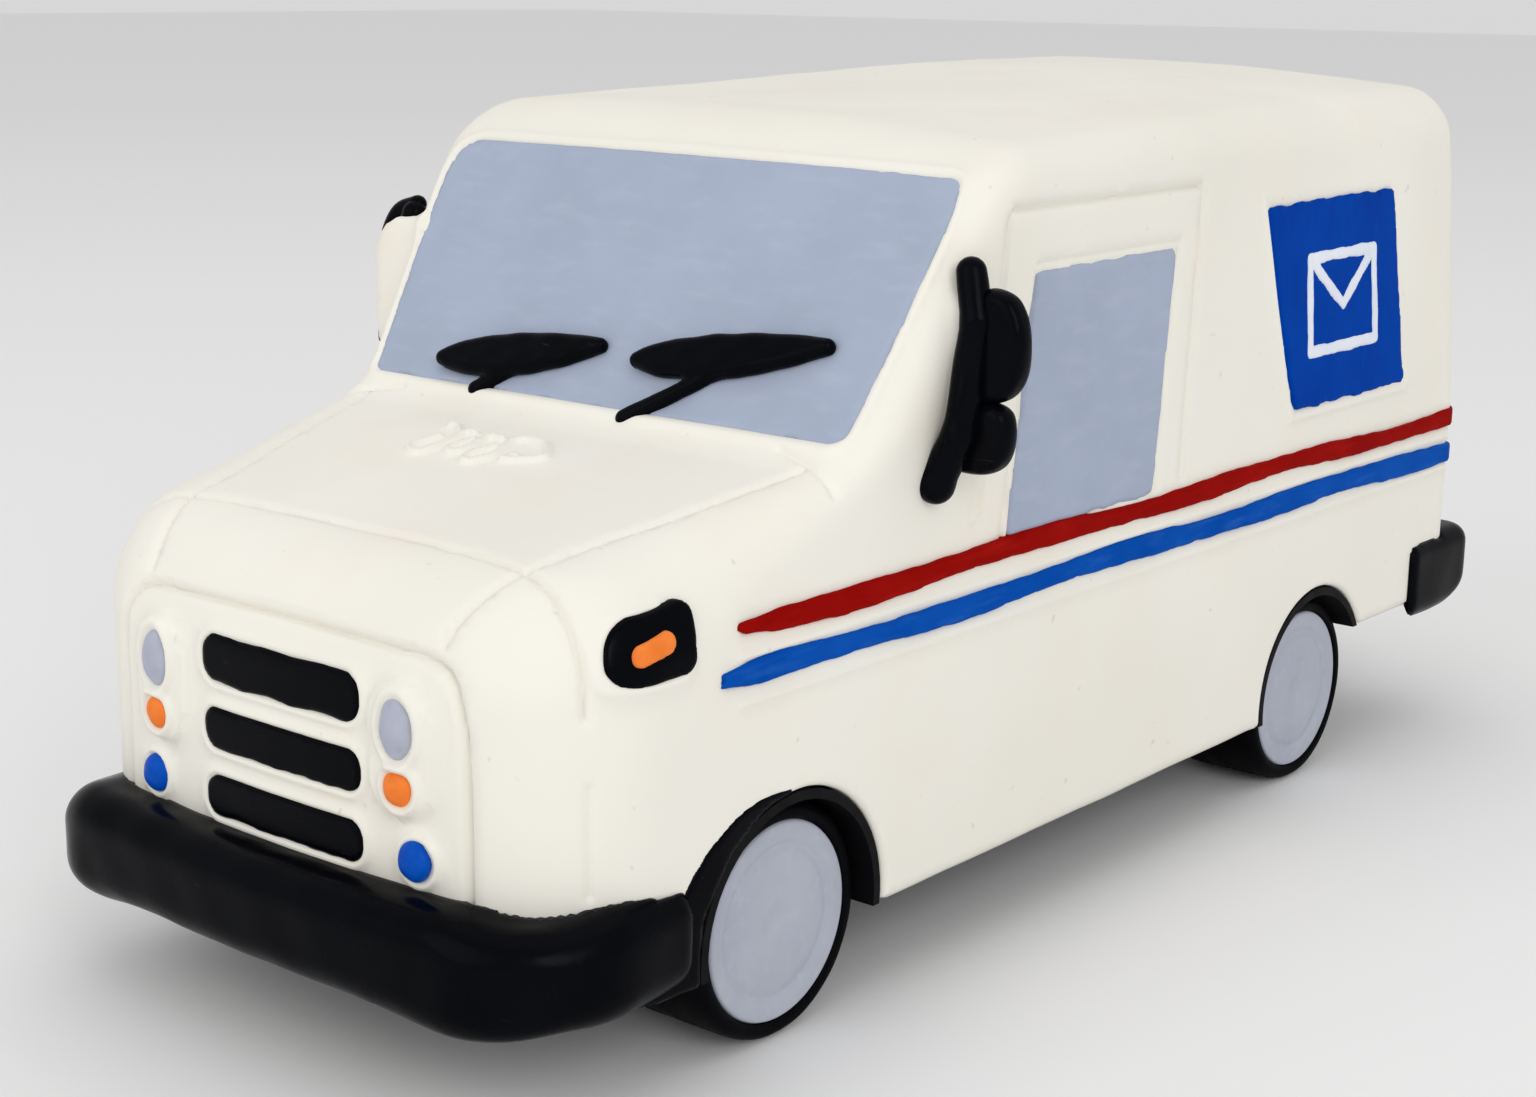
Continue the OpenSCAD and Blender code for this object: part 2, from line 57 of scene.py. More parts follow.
def box_mm(node):
    """Lowest and highest corner of a CAD node, in millimetres."""
    low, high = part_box(node)
    return np.array(low) / MM, np.array(high) / MM


def centre_mm(node):
    """Middle of a CAD node's box, in millimetres."""
    low, high = box_mm(node)
    return (low + high) / 2


FRONT_AXLE = centre_mm("front_axle")[[0, 2]]
REAR_AXLE = centre_mm("rear_axle")[[0, 2]]
TYRE_R = (box_mm("front_tyre_left")[1] - box_mm("front_tyre_left")[0])[0] / 2
TYRE_FACE = box_mm("front_tyre_left")[1][1]
TYRE_W = TYRE_FACE - box_mm("front_tyre_left")[0][1]
HUB_R = (box_mm("front_hub_left")[1] - box_mm("front_hub_left")[0])[0] / 2
AXLE_R = 1.5
TRIM_RISE = 0.2
NOSE_X = box_mm("grille_bar_top")[1][0] - TRIM_RISE
TAIL_X = box_mm("body_shell")[0][0]
ROOF_Z = box_mm("body_shell")[1][2] - TRIM_RISE
SILL_Z = box_mm("body_shell")[0][2]
HALF_W = box_mm("mail_sign_left")[1][1] - TRIM_RISE
TAIL_Z = SILL_Z + 8
ARCH_R = TYRE_R + 1.8
WALL = 2.2
BELT_Z = 44.6

SCREEN_LEAN = math.radians(32.3)
SCREEN_FOOT = (FRONT_AXLE[0] - 9.1, 57.2)
SCREEN_N = (math.cos(SCREEN_LEAN), math.sin(SCREEN_LEAN))
HOOD_CREASE = (FRONT_AXLE[0] + 24.1, 49.7)
HOOD_SLOPE = 0.19
HOOD_COSINE = 0.982
NOSE_BOW = 0.002

# The sides' lean above the belt line grows from the rear axle to the cab's front.
CAB_X = 34
CAB_FLARE = 0.12
REAR_LEAN = -0.02
FLARE_LENGTH = 85.7

# Radii of the body's edges.
SCREEN_TOP_R = 6.0
COWL_R = 3.0
NOSE_CORNER_R = 12.0
RIM_R = 0.9

# ---- Fields ----------------------------------------------------------------------------------


def round_max(a, b, r):
    """Intersection of two fields, with its edge rounded to radius r."""
    return np.minimum(np.maximum(a, b), -r) + np.hypot(np.maximum(a + r, 0), np.maximum(b + r, 0))


def round_min(a, b, r):
    """Union of two fields, with the inner corner filled to radius r."""
    return -round_max(-a, -b, r)


def flipped(p, side):
    """Points mirrored across the truck when the side is -1."""
    return p * np.array([1, side, 1])


def fade(low, high, value):
    """Smooth step from 0 at low to 1 at high."""
    t = np.clip((value - low) / (high - low), 0, 1)
    return t * t * (3 - 2 * t)


def wobble(p, length, phase):
    """Slow unevenness of a hand-made edge, about -1 to 1, with waves of the given length."""
    x, y, z = (p / length * 2 * math.pi).T
    return 0.5 * np.sin(x + 0.7 * z + phase) * np.cos(0.9 * y + 0.4 * x) + 0.5 * np.sin(
        0.8 * z - 0.5 * x + 1.7 * phase
    ) * np.cos(0.6 * x + y + phase)


def side_width(x, z):
    """Half width of the body: it flares at the cab's top front and draws in at the rear."""
    slope = REAR_LEAN + CAB_FLARE * (np.minimum(x, CAB_X) - REAR_AXLE[0]) / FLARE_LENGTH
    slope = slope * (1 - fade(CAB_X, 60, x))
    taper = 1.5 * np.clip((x - FRONT_AXLE[0] - 11) / 22, 0, 1)
    return HALF_W + np.maximum(z - BELT_Z, 0) * slope - taper


def roof_height(x, y):
    """The roof: a faint crown, sinking toward the windshield and a little to the left."""
    ahead = x - REAR_AXLE[0]
    fall = 0.015 * (ahead + np.hypot(ahead, 10))
    tilt = 0.02 + 0.02 * fade(0, -80, x)
    crown = 0.6 * (y / 24.5) ** 2
    return ROOF_Z + 0.4 - fall - tilt * y - crown


def outer_form(p):
    """The body's outer form without its underside and wheel arches."""
    x, y, z = p.T
    wide = np.abs(y)
    side = wide - side_width(x, z)
    screen = (x - SCREEN_FOOT[0]) * SCREEN_N[0] + (z - SCREEN_FOOT[1]) * SCREEN_N[1]
    roof = z - roof_height(x, y)
    hood = (z - HOOD_CREASE[1] + HOOD_SLOPE * (x - HOOD_CREASE[0])) * HOOD_COSINE
    nose = x - (NOSE_X - NOSE_BOW * y**2)
    cab = round_max(screen, roof, SCREEN_TOP_R)
    profile = round_min(cab, hood, COWL_R)
    plan = round_max(side, nose, NOSE_CORNER_R)
    edge_r = 4.5 + 5.0 * fade(50, 72, x) + 1.5 * fade(10, -85, x)
    form = round_max(plan, profile, edge_r)
    tail_r = 3.2 + 1.8 * fade(72, 88, z)
    return round_max(form, TAIL_X - x, tail_r)


def arch_space(p):
    """Distance outside the nearest wheel arch's cylinder."""
    x, _, z = p.T
    front = np.hypot(x - FRONT_AXLE[0], z - FRONT_AXLE[1])
    rear = np.hypot(x - REAR_AXLE[0], z - REAR_AXLE[1])
    return np.minimum(front, rear) - ARCH_R


def underside(p):
    """The sill, and the higher lower edge behind the rear axle."""
    x, _, z = p.T
    main = round_max(SILL_Z - z, REAR_AXLE[0] - x, 0.5)
    return round_min(main, TAIL_Z - z, 0.5)


def body_field(p):
    """The body with its underside and its open wheel arches."""
    form = round_max(outer_form(p), underside(p), RIM_R)
    return round_max(form, -arch_space(p), RIM_R)


# ---- Meshing ---------------------------------------------------------------------------------


def surface_net(field, low, high, cell):
    """Vertices (mm) and quads of a field's zero surface, on a grid of the given cell."""
    low = np.array(low, float)
    axes = [a + cell * np.arange(int((b - a) / cell) + 2) for a, b in zip(low, high)]
    grid = np.stack(np.meshgrid(*axes, indexing="ij"), -1)
    value = field(grid.reshape(-1, 3)).reshape(grid.shape[:3])
    for axis in range(3):
        for end in (0, -1):
            border = np.moveaxis(value, axis, 0)[end]
            np.maximum(border, 0.01, out=border)
    cells = tuple(n - 1 for n in value.shape)
    total = np.zeros((3, np.prod(cells)))
    count = np.zeros(np.prod(cells))
    faces = []
    for axis in range(3):
        u, v = (axis + 1) % 3, (axis + 2) % 3
        near = np.moveaxis(value, axis, 0)[:-1]
        far = np.moveaxis(value, axis, 0)[1:]
        crossed = (near < 0) != (far < 0)
        at = np.argwhere(np.moveaxis(crossed, 0, axis))
        a = value[tuple(at.T)]
        end = at.copy()
        end[:, axis] += 1
        b = value[tuple(end.T)]
        point = at.astype(float)
        point[:, axis] += a / (a - b)
        ring = []
        for du, dv in ((0, 0), (1, 0), (1, 1), (0, 1)):
            cell_at = at.copy()
            cell_at[:, u] -= du
            cell_at[:, v] -= dv
            flat = np.ravel_multi_index(tuple(cell_at.T), cells)
            ring.append(flat)
            count += np.bincount(flat, minlength=count.size)
            for k in range(3):
                total[k] += np.bincount(flat, point[:, k], minlength=count.size)
        ring = np.stack(ring, 1)
        ring[a >= 0] = ring[a >= 0][:, ::-1]
        faces.append(ring)
    used = count > 0
    number = np.cumsum(used) - 1
    vertices = low + cell * (total[:, used] / count[used]).T
    return vertices, number[np.concatenate(faces)]


def slope_of(field, points, step=0.04):
    """The field's gradient at the points."""
    rise = []
    for axis in range(3):
        shift = np.zeros(3)
        shift[axis] = step
        rise.append((field(points + shift) - field(points - shift)) / (2 * step))
    return np.stack(rise, 1)


def settle(points, field, rounds=3, reach=0.6):
    """Points moved onto the field's zero surface."""
    points = np.array(points, float)
    for _ in range(rounds):
        rise = slope_of(field, points)
        step = field(points) / np.maximum((rise**2).sum(1), 0.3)
        points -= rise * np.clip(step, -reach, reach)[:, None]
    return points


def add_mesh(name, points, faces):
    mesh = bpy.data.meshes.new(name)
    mesh.from_pydata((np.asarray(points) * MM).tolist(), [], [list(f) for f in faces])
    mesh.shade_smooth()
    mesh.validate()
    piece = bpy.data.objects.new(name, mesh)
    bpy.context.scene.collection.objects.link(piece)
    return piece


def coordinates(piece):
    """A piece's vertices in millimetres."""
    found = np.zeros(len(piece.data.vertices) * 3)
    piece.data.vertices.foreach_get("co", found)
    return found.reshape(-1, 3) / MM


def set_coordinates(piece, points):
    """Moves a piece's vertices to the given places in millimetres."""
    piece.data.vertices.foreach_set("co", (points * MM).ravel())
    piece.data.update()


def sculpt(name, field, low, high, cell):
    """A piece meshed from its field inside the box low to high, in millimetres."""
    cell = cell
    points, faces = surface_net(field, np.array(low) - 2 * cell, np.array(high) + 2 * cell, cell)
    return add_mesh(name, settle(points, field), faces)


def finish_piece(piece, nodes, body, material):
    """Puts a finished piece in place of its CAD nodes."""
    piece.data.materials.clear()
    piece.data.materials.append(material)
    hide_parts(*nodes)
    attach(piece, body)
    return piece


# ---- Lines engraved or raised on the shell ---------------------------------------------------


def through(points, pitch=1.0):
    """Points every pitch millimetres along a smooth curve through the given ones."""
    points = np.array(points, float)
    if len(points) == 2:
        steps = max(2, int(np.linalg.norm(points[1] - points[0]) / pitch))
        return points[0] + np.linspace(0, 1, steps + 1)[:, None] * (points[1] - points[0])
    padded = np.vstack([2 * points[0] - points[1], points, 2 * points[-1] - points[-2]])
    made = [points[:1]]
    for a, b, c, d in zip(padded, padded[1:], padded[2:], padded[3:]):
        steps = max(2, int(np.linalg.norm(c - b) / pitch))
        t = np.linspace(0, 1, steps + 1)[1:, None]
        made.append(0.5 * (2 * b + (c - a) * t + (2 * a - 5 * b + 4 * c - d) * t**2
                           + (3 * b - a - 3 * c + d) * t**3))
    return np.vstack(made)


def polyline(points, pitch=1.0):
    """Points every pitch millimetres along straight stretches."""
    return np.vstack([through([a, b], pitch) for a, b in zip(points, points[1:])])


def distance_to_line(points, line):
    """Distance from each point to a line of close points, up to 4 mm."""
    found = np.full(len(points), 4.0)
    low, high = line.min(0) - 4, line.max(0) + 4
    near = np.flatnonzero(((points > low) & (points < high)).all(1))
    for part in np.array_split(near, max(1, len(near) // 4000)):
        if not len(part):
            continue
        a, b = line[:-1], line[1:]
        along = b - a
        rel = points[part][:, None] - a
        t = np.clip((rel * along).sum(2) / np.maximum((along**2).sum(1), 1e-9), 0, 1)
        gap = rel - t[..., None] * along
        found[part] = np.minimum(found[part], np.sqrt((gap**2).sum(2).min(1)))
    return found


def soft_ridge(gap, width):
    """A ridge of height one where the gap is zero, fading out over the width."""
    return np.exp(-((gap / width) ** 2))


# ---- Materials -------------------------------------------------------------------------------


class Shader:
    """A small helper that lays out one procedural material."""

    def __init__(self, name):
        self.material = bpy.data.materials.new(name)
        self.material.use_nodes = True
        self.tree = self.material.node_tree
        self.shader = self.tree.nodes["Principled BSDF"]
        self.place = self.tree.nodes.new("ShaderNodeTexCoord").outputs["Object"]

    def node(self, kind, **sockets):
        made = self.tree.nodes.new(kind)
        for socket, value in sockets.items():
            self.put(made.inputs[socket], value)
        return made

    def put(self, socket, value):
        if isinstance(value, bpy.types.NodeSocket):
            self.tree.links.new(value, socket)
        else:
            socket.default_value = value

    def stretched(self, scale):
        made = self.node("ShaderNodeMapping", Vector=self.place, Scale=scale)
        return made.outputs["Vector"]

    def noise(self, millimetres, detail=3.0, where=None, roughness=0.55):
        made = self.node("ShaderNodeTexNoise", Vector=where or self.place,
                         Scale=1000 / millimetres, Detail=detail, Roughness=roughness)
        return made.outputs["Fac"]

    def remap(self, value, low, high, to_low, to_high):
        made = self.node("ShaderNodeMapRange", Value=value)
        made.inputs["From Min"].default_value = low
        made.inputs["From Max"].default_value = high
        made.inputs["To Min"].default_value = to_low
        made.inputs["To Max"].default_value = to_high
        return made.outputs["Result"]

    def noise_to(self, value, low, high):
        """A noise's middle range stretched to run from low to high."""
        return self.remap(value, 0.3, 0.7, low, high)

    def skin(self, colour, roughness, level):
        """Sets the colour, the roughness and the specular level."""
        self.put(self.shader.inputs["Base Color"], colour)
        self.put(self.shader.inputs["Roughness"], roughness)
        self.shader.inputs["Specular IOR Level"].default_value = level

    def mix(self, factor, a, b):
        made = self.tree.nodes.new("ShaderNodeMix")
        made.data_type = "RGBA"
        for index, value in ((0, factor), (6, a), (7, b)):
            self.put(made.inputs[index], value)
        return made.outputs[2]

    def bump(self, heights):
        """Bumps stacked from (height socket, strength, distance in mm)."""
        normal = None
        for height, strength, distance in heights:
            made = self.node("ShaderNodeBump", Height=height, Strength=strength, Distance=distance * MM)
            if normal:
                self.put(made.inputs["Normal"], normal)
            normal = made.outputs["Normal"]
        self.put(self.shader.inputs["Normal"], normal)


def srgb(r, g, b):
    """Linear colour of an 8-bit display colour."""
    def linear(level):
        c = level / 255
        return c / 12.92 if c <= 0.04045 else ((c + 0.055) / 1.055) ** 2.4
    return (linear(r), linear(g), linear(b), 1)


def cream_rubber():
    s = Shader("cream_rubber")
    cloud = s.remap(s.noise(38, 2), 0.35, 0.68, 0, 1)
    blush = s.remap(s.noise(17, 3), 0.52, 0.75, 0, 1)
    speck = s.remap(s.noise(1.6, 1), 0.76, 0.82, 0, 0.5)
    tone = s.mix(cloud, srgb(243, 240, 230), srgb(238, 235, 224))
    tone = s.mix(s.remap(blush, 0, 1, 0, 0.55), tone, srgb(242, 233, 219))
    tone = s.mix(speck, tone, srgb(205, 199, 184))
    s.skin(tone, s.noise_to(s.noise(6, 3), 0.5, 0.66), 0.35)
    s.shader.inputs["Subsurface Weight"].default_value = 0.03
    s.shader.inputs["Subsurface Radius"].default_value = (1.0, 0.8, 0.6)
    s.shader.inputs["Subsurface Scale"].default_value = 0.0008
    s.bump([(s.noise(7, 2), 0.25, 0.12), (s.noise(0.7, 2), 0.12, 0.02)])
    return s.material


def brushed_paint(name, colour, dark, light, roughness=0.42, grain=(1, 1, 1), stroke=0.25):
    """Hand-brushed paint: faint strokes, a thicker and a thinner tone, and a satin skin."""
    s = Shader(name)
    streak = s.noise(1.4, 3, s.stretched(grain))
    cloud = s.noise(9, 3)
    tone = s.mix(s.noise_to(cloud, 0, 1), colour, dark)
    tone = s.mix(s.remap(streak, 0.52, 0.75, 0, 0.5), tone, light)
    s.skin(tone, s.noise_to(streak, roughness - 0.07, roughness + 0.1), 0.006)
    s.bump([(streak, stroke, 0.05), (s.noise(5, 2), 0.2, 0.1)])
    return s.material


def black_paint():
    s = Shader("black_paint")
    hair = s.noise(0.5, 2, s.stretched((0.12, 0.12, 1)))
    cloud = s.noise(12, 3)
    tone = s.mix(s.remap(cloud, 0.35, 0.7, 0, 1), srgb(4, 5, 9), srgb(8, 9, 14))
    tone = s.mix(s.remap(hair, 0.74, 0.8, 0, 0.35), tone, srgb(58, 56, 54))
    s.skin(tone, s.noise_to(s.noise(4, 4), 0.16, 0.3), 0.035)
    s.bump([(s.noise(6, 2), 0.3, 0.16), (s.noise(0.9, 2), 0.1, 0.03)])
    return s.material


def tyre_rubber():
    s = Shader("tyre_rubber")
    tone = s.mix(s.noise(5, 3), srgb(6, 6, 9), srgb(13, 13, 16))
    s.skin(tone, s.noise_to(s.noise(3, 3), 0.36, 0.55), 0.02)
    s.bump([(s.noise(4, 2), 0.3, 0.12), (s.noise(0.8, 2), 0.12, 0.03)])
    return s.material


def lens_paint(name, colour, dark):
    s = Shader(name)
    tone = s.mix(s.remap(s.noise(2.2, 3), 0.35, 0.7, 0, 1), colour, dark)
    s.skin(tone, s.noise_to(s.noise(1.5, 2), 0.3, 0.45), 0.08)
    s.bump([(s.noise(1.2, 2), 0.2, 0.04)])
    return s.material


def turned_steel():
    s = Shader("turned_steel")
    rings = s.noise(0.6, 2, s.stretched((0.2, 1, 0.2)))
    tone = s.mix(rings, srgb(196, 197, 200), srgb(160, 162, 166))
    s.skin(tone, s.noise_to(rings, 0.24, 0.4), 0.5)
    s.shader.inputs["Metallic"].default_value = 1.0
    s.bump([(rings, 0.2, 0.02)])
    return s.material


def chassis_plastic():
    s = Shader("chassis_plastic")
    tone = s.mix(s.noise(8, 3), srgb(8, 8, 11), srgb(14, 14, 17))
    s.skin(tone, s.noise_to(s.noise(2, 3), 0.5, 0.68), 0.08)
    s.bump([(s.noise(0.5, 2), 0.25, 0.03)])
    return s.material


CREAM = cream_rubber()
BLACK = black_paint()
RUBBER = tyre_rubber()
CHASSIS = chassis_plastic()
STEEL = turned_steel()
WINDOW = brushed_paint("window_paint", srgb(170, 180, 201), srgb(164, 174, 194), srgb(178, 187, 206),
                       roughness=0.5, grain=(0.25, 0.25, 1), stroke=0.15)
HUB_PAINT = brushed_paint("hub_paint", srgb(182, 186, 198), srgb(174, 178, 191), srgb(189, 193, 204),
                          roughness=0.5, stroke=0.15)
RED = brushed_paint("stripe_red_paint", srgb(154, 14, 9), srgb(138, 7, 5), srgb(170, 28, 21),
                    grain=(0.15, 1, 1))
BLUE = brushed_paint("stripe_blue_paint", srgb(14, 84, 180), srgb(0, 72, 166), srgb(50, 104, 194),
                     grain=(0.15, 1, 1))
SIGN_BLUE = brushed_paint("sign_blue_paint", srgb(0, 66, 168), srgb(0, 58, 156), srgb(6, 74, 176),
                          grain=(1, 1, 0.2))
WHITE = brushed_paint("emblem_white_paint", srgb(236, 240, 248), srgb(222, 229, 242),
                      srgb(246, 248, 252), grain=(1, 1, 0.3))
GREY_LENS = lens_paint("lamp_grey_paint", srgb(178, 181, 196), srgb(168, 171, 188))
ORANGE_LENS = lens_paint("lens_orange_paint", srgb(247, 136, 58), srgb(236, 120, 48))
BLUE_LENS = lens_paint("lens_blue_paint", srgb(0, 84, 192), srgb(0, 70, 174))
RED_LENS = lens_paint("lens_red_paint", srgb(142, 20, 18), srgb(120, 12, 12))

TRUCK = "truck_body"
SIDES = (("left", 1), ("right", -1))


# ---- Outlines of the trims, as fields over the surface they lie on ---------------------------


def box_2d(u, v, low, high, r):
    """A rounded rectangle in two coordinates."""
    du = np.abs(u - (low[0] + high[0]) / 2) - (high[0] - low[0]) / 2 + r
    dv = np.abs(v - (low[1] + high[1]) / 2) - (high[1] - low[1]) / 2 + r
    return np.hypot(np.maximum(du, 0), np.maximum(dv, 0)) + np.minimum(np.maximum(du, dv), 0) - r


def convex_2d(u, v, corners, r):
    """A convex outline, corners anticlockwise, with rounded corners."""
    found = None
    for (u0, v0), (u1, v1) in zip(corners, corners[1:] + corners[:1]):
        length = math.hypot(u1 - u0, v1 - v0)
        edge = ((u - u0) * (v1 - v0) - (v - v0) * (u1 - u0)) / length
        found = edge if found is None else round_max(found, edge, r)
    return found


def stroke_2d(u, v, points, r):
    """A brush stroke of radius r along straight stretches."""
    found = np.full(u.shape, 1e3)
    for (u0, v0), (u1, v1) in zip(points, points[1:]):
        du, dv = u1 - u0, v1 - v0
        t = np.clip(((u - u0) * du + (v - v0) * dv) / (du * du + dv * dv), 0, 1)
        found = np.minimum(found, np.hypot(u - u0 - t * du, v - v0 - t * dv))
    return found - r


def on_glass(p):
    """Whether a point lies near the windshield."""
    return (p[:, 0] > GLASS_X) & (p[:, 2] > GLASS_Z[0]) & (p[:, 2] < GLASS_Z[1])


def on_screen(p):
    """Coordinates across and up the windshield."""
    rise = (p[:, 2] - SCREEN_FOOT[1]) * SCREEN_N[0] - (p[:, 0] - SCREEN_FOOT[0]) * SCREEN_N[1]
    return p[:, 1], rise


GLASS_X = 26
GLASS_Z = (54, 85.5)
SCREEN_CORNERS = [(-33.3, 0.0), (33.2, 0.0), (35.2, 13.5), (35.9, 27.4), (34.9, 29.7), (-33.6, 29.9),
                  (-35.6, 27.0), (-35.1, 12.0)]
DOOR_WINDOW = ((-7.0, 44.8), (21.9, 72.4))
SIGN_CORNERS = [(-69.8, 50.0), (-39.5, 49.8), (-29.2, 75.2), (-65.4, 75.2)]
EMBLEM_MIDDLE = (-51, 62.5)
EMBLEM_HALF = (9.0, 5.8)
EMBLEM_LINE = 0.75
RED_Z = 43.5
BLUE_Z = 38.9
STRIPE_HALF = 1.15
STRIPE_FRONT = {RED_Z: FRONT_AXLE[0] + 9.0, BLUE_Z: FRONT_AXLE[0] + 11.4}
STRIPE_SWELL = {RED_Z: -0.05, BLUE_Z: 0.18}
BAR_ENDS = (-10.2, 12.0)
BARS = {"top": (37.6, 4.7), "middle": (30.65, 4.1), "bottom": (23.9, 4.1)}
LAMP_Y = 17.2
HEADLAMP_Z = 36.0
TURN_Z = 30.5
MARKER = (18.6, 23.8)
SIDE_MARKER = [(FRONT_AXLE[0] + x, z) for x, z in
               ((14.9, 41.0), (22.2, 40.4), (24.2, 41.2), (24.7, 43.4), (22.6, 46.4), (14.6, 47.5))]
SIDE_LENS = (FRONT_AXLE[0] + 19.8, 43.8)


def screen_outline(p):
    u, v = on_screen(p)
    return convex_2d(u, v, SCREEN_CORNERS, 1.6)


def door_window_outline(p):
    lean = (p[:, 2] - DOOR_WINDOW[0][1]) * 0.03
    return box_2d(p[:, 0] + lean, p[:, 2], *DOOR_WINDOW, 1.0)


def sign_outline(p):
    return convex_2d(p[:, 0], p[:, 2], SIGN_CORNERS, 0.8)


def emblem_outline(p):
    """A leaning envelope in brush strokes: its frame and its flap."""
    half_w, half_h = EMBLEM_HALF
    v = p[:, 2] - EMBLEM_MIDDLE[1]
    u = p[:, 0] - EMBLEM_MIDDLE[0] - 0.12 * v
    frame_line = [(-half_w, -half_h), (half_w, -half_h), (half_w, half_h), (-half_w, half_h),
                  (-half_w, -half_h)]
    flap = [(-half_w, half_h), (0, -0.6), (half_w, half_h)]
    return np.minimum(stroke_2d(u, v, frame_line, EMBLEM_LINE), stroke_2d(u, v, flap, EMBLEM_LINE))


def stripe_outline(p, height):
    """A stripe that wanders a little, sinks toward the rear and thins out at its front end."""
    x, _, z = p.T
    front = STRIPE_FRONT[height]
    centre = height + 0.25 * np.sin(x / 9.0 + height) - 0.3 * fade(-20, -85, x)
    swell = STRIPE_SWELL[height] * fade(30, -60, x)
    thick = STRIPE_HALF * (1 + 0.12 * np.sin(x / 5.3 + 2 * height) + swell)
    thick = thick * (1 - 0.45 * fade(front - 6, front, x))
    band = np.abs(z - centre) - thick
    band = round_max(band, TAIL_X + 0.6 - x, 0.4)
    return round_max(band, x - front + 0.4 * np.sin(z * 5), 0.4)


def bar_outline(p, bar):
    z, height = BARS[bar]
    low, high = (BAR_ENDS[0], z - height / 2), (BAR_ENDS[1], z + height / 2)
    return box_2d(p[:, 1], p[:, 2], low, high, height * 0.42)


def side_marker_outline(p):
    return convex_2d(p[:, 0], p[:, 2], SIDE_MARKER, 1.3)


def side_lens_outline(p):
    """The side marker's lens, lower at its front end."""
    u, v = p[:, 0] - SIDE_LENS[0], p[:, 2] - SIDE_LENS[1]
    return box_2d(u, v + 0.25 * u, (-2.3, -0.95), (2.3, 0.95), 0.9)


def arch_paint_outline(p):
    """A disc round the front of the wheel arch and a strip along the sill, outside the open arch."""
    ahead, z = p[:, 0] - FRONT_AXLE[0], p[:, 2]
    disc = np.hypot(ahead - 4.0, z - FRONT_AXLE[1] - 0.7) - 14.0
    strip = box_2d(ahead, z, (11, SILL_Z - 2), (25, SILL_Z + 3), 0.6)
    found = round_min(disc, strip, 0.6)
    found = round_max(found, 0.2 - arch_space(p), 0.3)
    return round_max(found, SILL_Z + 0.1 - z, 0.2)


# ---- Body shell ------------------------------------------------------------------------------

SHELL_CELL = 1.12
CAVITY_CELL = 2.6
STROKE_RISE = 0.68
SEAT_DEPTH = 0.6
# Each pass splits the edges within a reach of the lines, and where the relief rises above a least one.
RELIEF_PASSES = ((1.5, 0.002), (0.75, 0.05))


def shell_lines():
    """Lines on the shell: (line on the surface, half width, height above the surface).

    They follow the hood and its edges, the lamp panel, the door, the window, the sign and the stripes,
    and the rear door with its slats.
    """
    crease_z = HOOD_CREASE[1]
    corner = (79.2, 23.7, crease_z)
    lines = []

    def add(points, half_width, height, both=True):
        line = settle(points, outer_form, 8, 3.0)
        lines.append((line, half_width, height))
        if both:
            lines.append((flipped(line, -1), half_width, height))

    across = [(79.3, -24, crease_z), (78.3, -12, crease_z), (78.0, 4, crease_z), (78.4, 15, crease_z)]
    add(through([*across, corner]), 0.32, -0.65, both=False)
    hood_edge = [(71.4, 25.4, 51.2), (65.4, 27.3, 52.4), (57.5, 29.1, 53.9), (49.8, 31.1, 55.4)]
    add(through([corner, *hood_edge]), 0.36, -0.65)
    add(through([(47.6, 26.8, 56.2), (48.8, 31.4, 55.4), (49.8, 34.7, 53)]), 0.34, -0.4)
    nose_edge = [(81.5, 22.9, 48.7), (83.2, 22.2, 47.5), (84.9, 21.4, 45.9), (86.4, 20.9, 43.8)]
    add(through([corner, *nose_edge]), 0.33, -0.65)
    fender_edge = [(79.7, 26.8, 49.0), (80.3, 29.1, 47.7), (80.7, 30.7, 46.1), (81.0, 31.9, 44.2),
                   (81.2, 32.8, 41.0), (81.3, 33.0, 38.5)]
    add(through([corner, *fender_edge]), 0.33, -0.65)
    add(polyline([(81.0, 33.1, 32), (81.0, 33.1, 22)]), 0.36, -0.35)
    panel = [(88.3, 0, 43.6), (87.9, 12, 43.2), (87.4, 19.0, 42.9), (87.3, 22.2, 41.8),
             (87.2, 23.6, 39.4), (87.2, 24.4, 34.5), (87.2, 24.5, 20)]
    add(through(panel), 0.36, -1.0)
    door = [(27.3, 38, 48), (27.3, 39, 77.6), (26.6, 39.3, 78.8), (-12.6, 37, 78.8), (-13.2, 37, 78),
            (-13.2, 36, 46)]
    add(polyline(door), 0.3, -0.75)
    add(polyline([(28.6, 38, 47.6), (28.6, 38, 60)]), 0.45, 0.45)
    window = [(-7.8, 36, 45.5), (-8.6, 37, 73.1), (20.9, 38, 73.1), (22.8, 36, 44.6)]
    add(polyline(window), 0.33, -0.55)
    add(polyline([(-28.2, 36, 76), (-38.7, 36, 49), (-70.6, 35, 49)]), 0.48, 0.42)
    for low in (RED_Z - 2.6, BLUE_Z - 2.5):
        add(polyline([(64, 36, low), (-84, 36, low)]), 0.45, 0.38)
    y, top, pitch = 24.3, 79.5, 2.0
    add(polyline([(TAIL_X, y, 31), (TAIL_X, y, top), (TAIL_X, 0, top)], pitch), 0.42, -0.6)
    for height in range(38, 79, 7):
        slat = [(TAIL_X, 23.2, height + 0.3), (TAIL_X, 0, height + 0.3)]
        add(polyline(slat, pitch), 0.36, -0.45)
    return lines


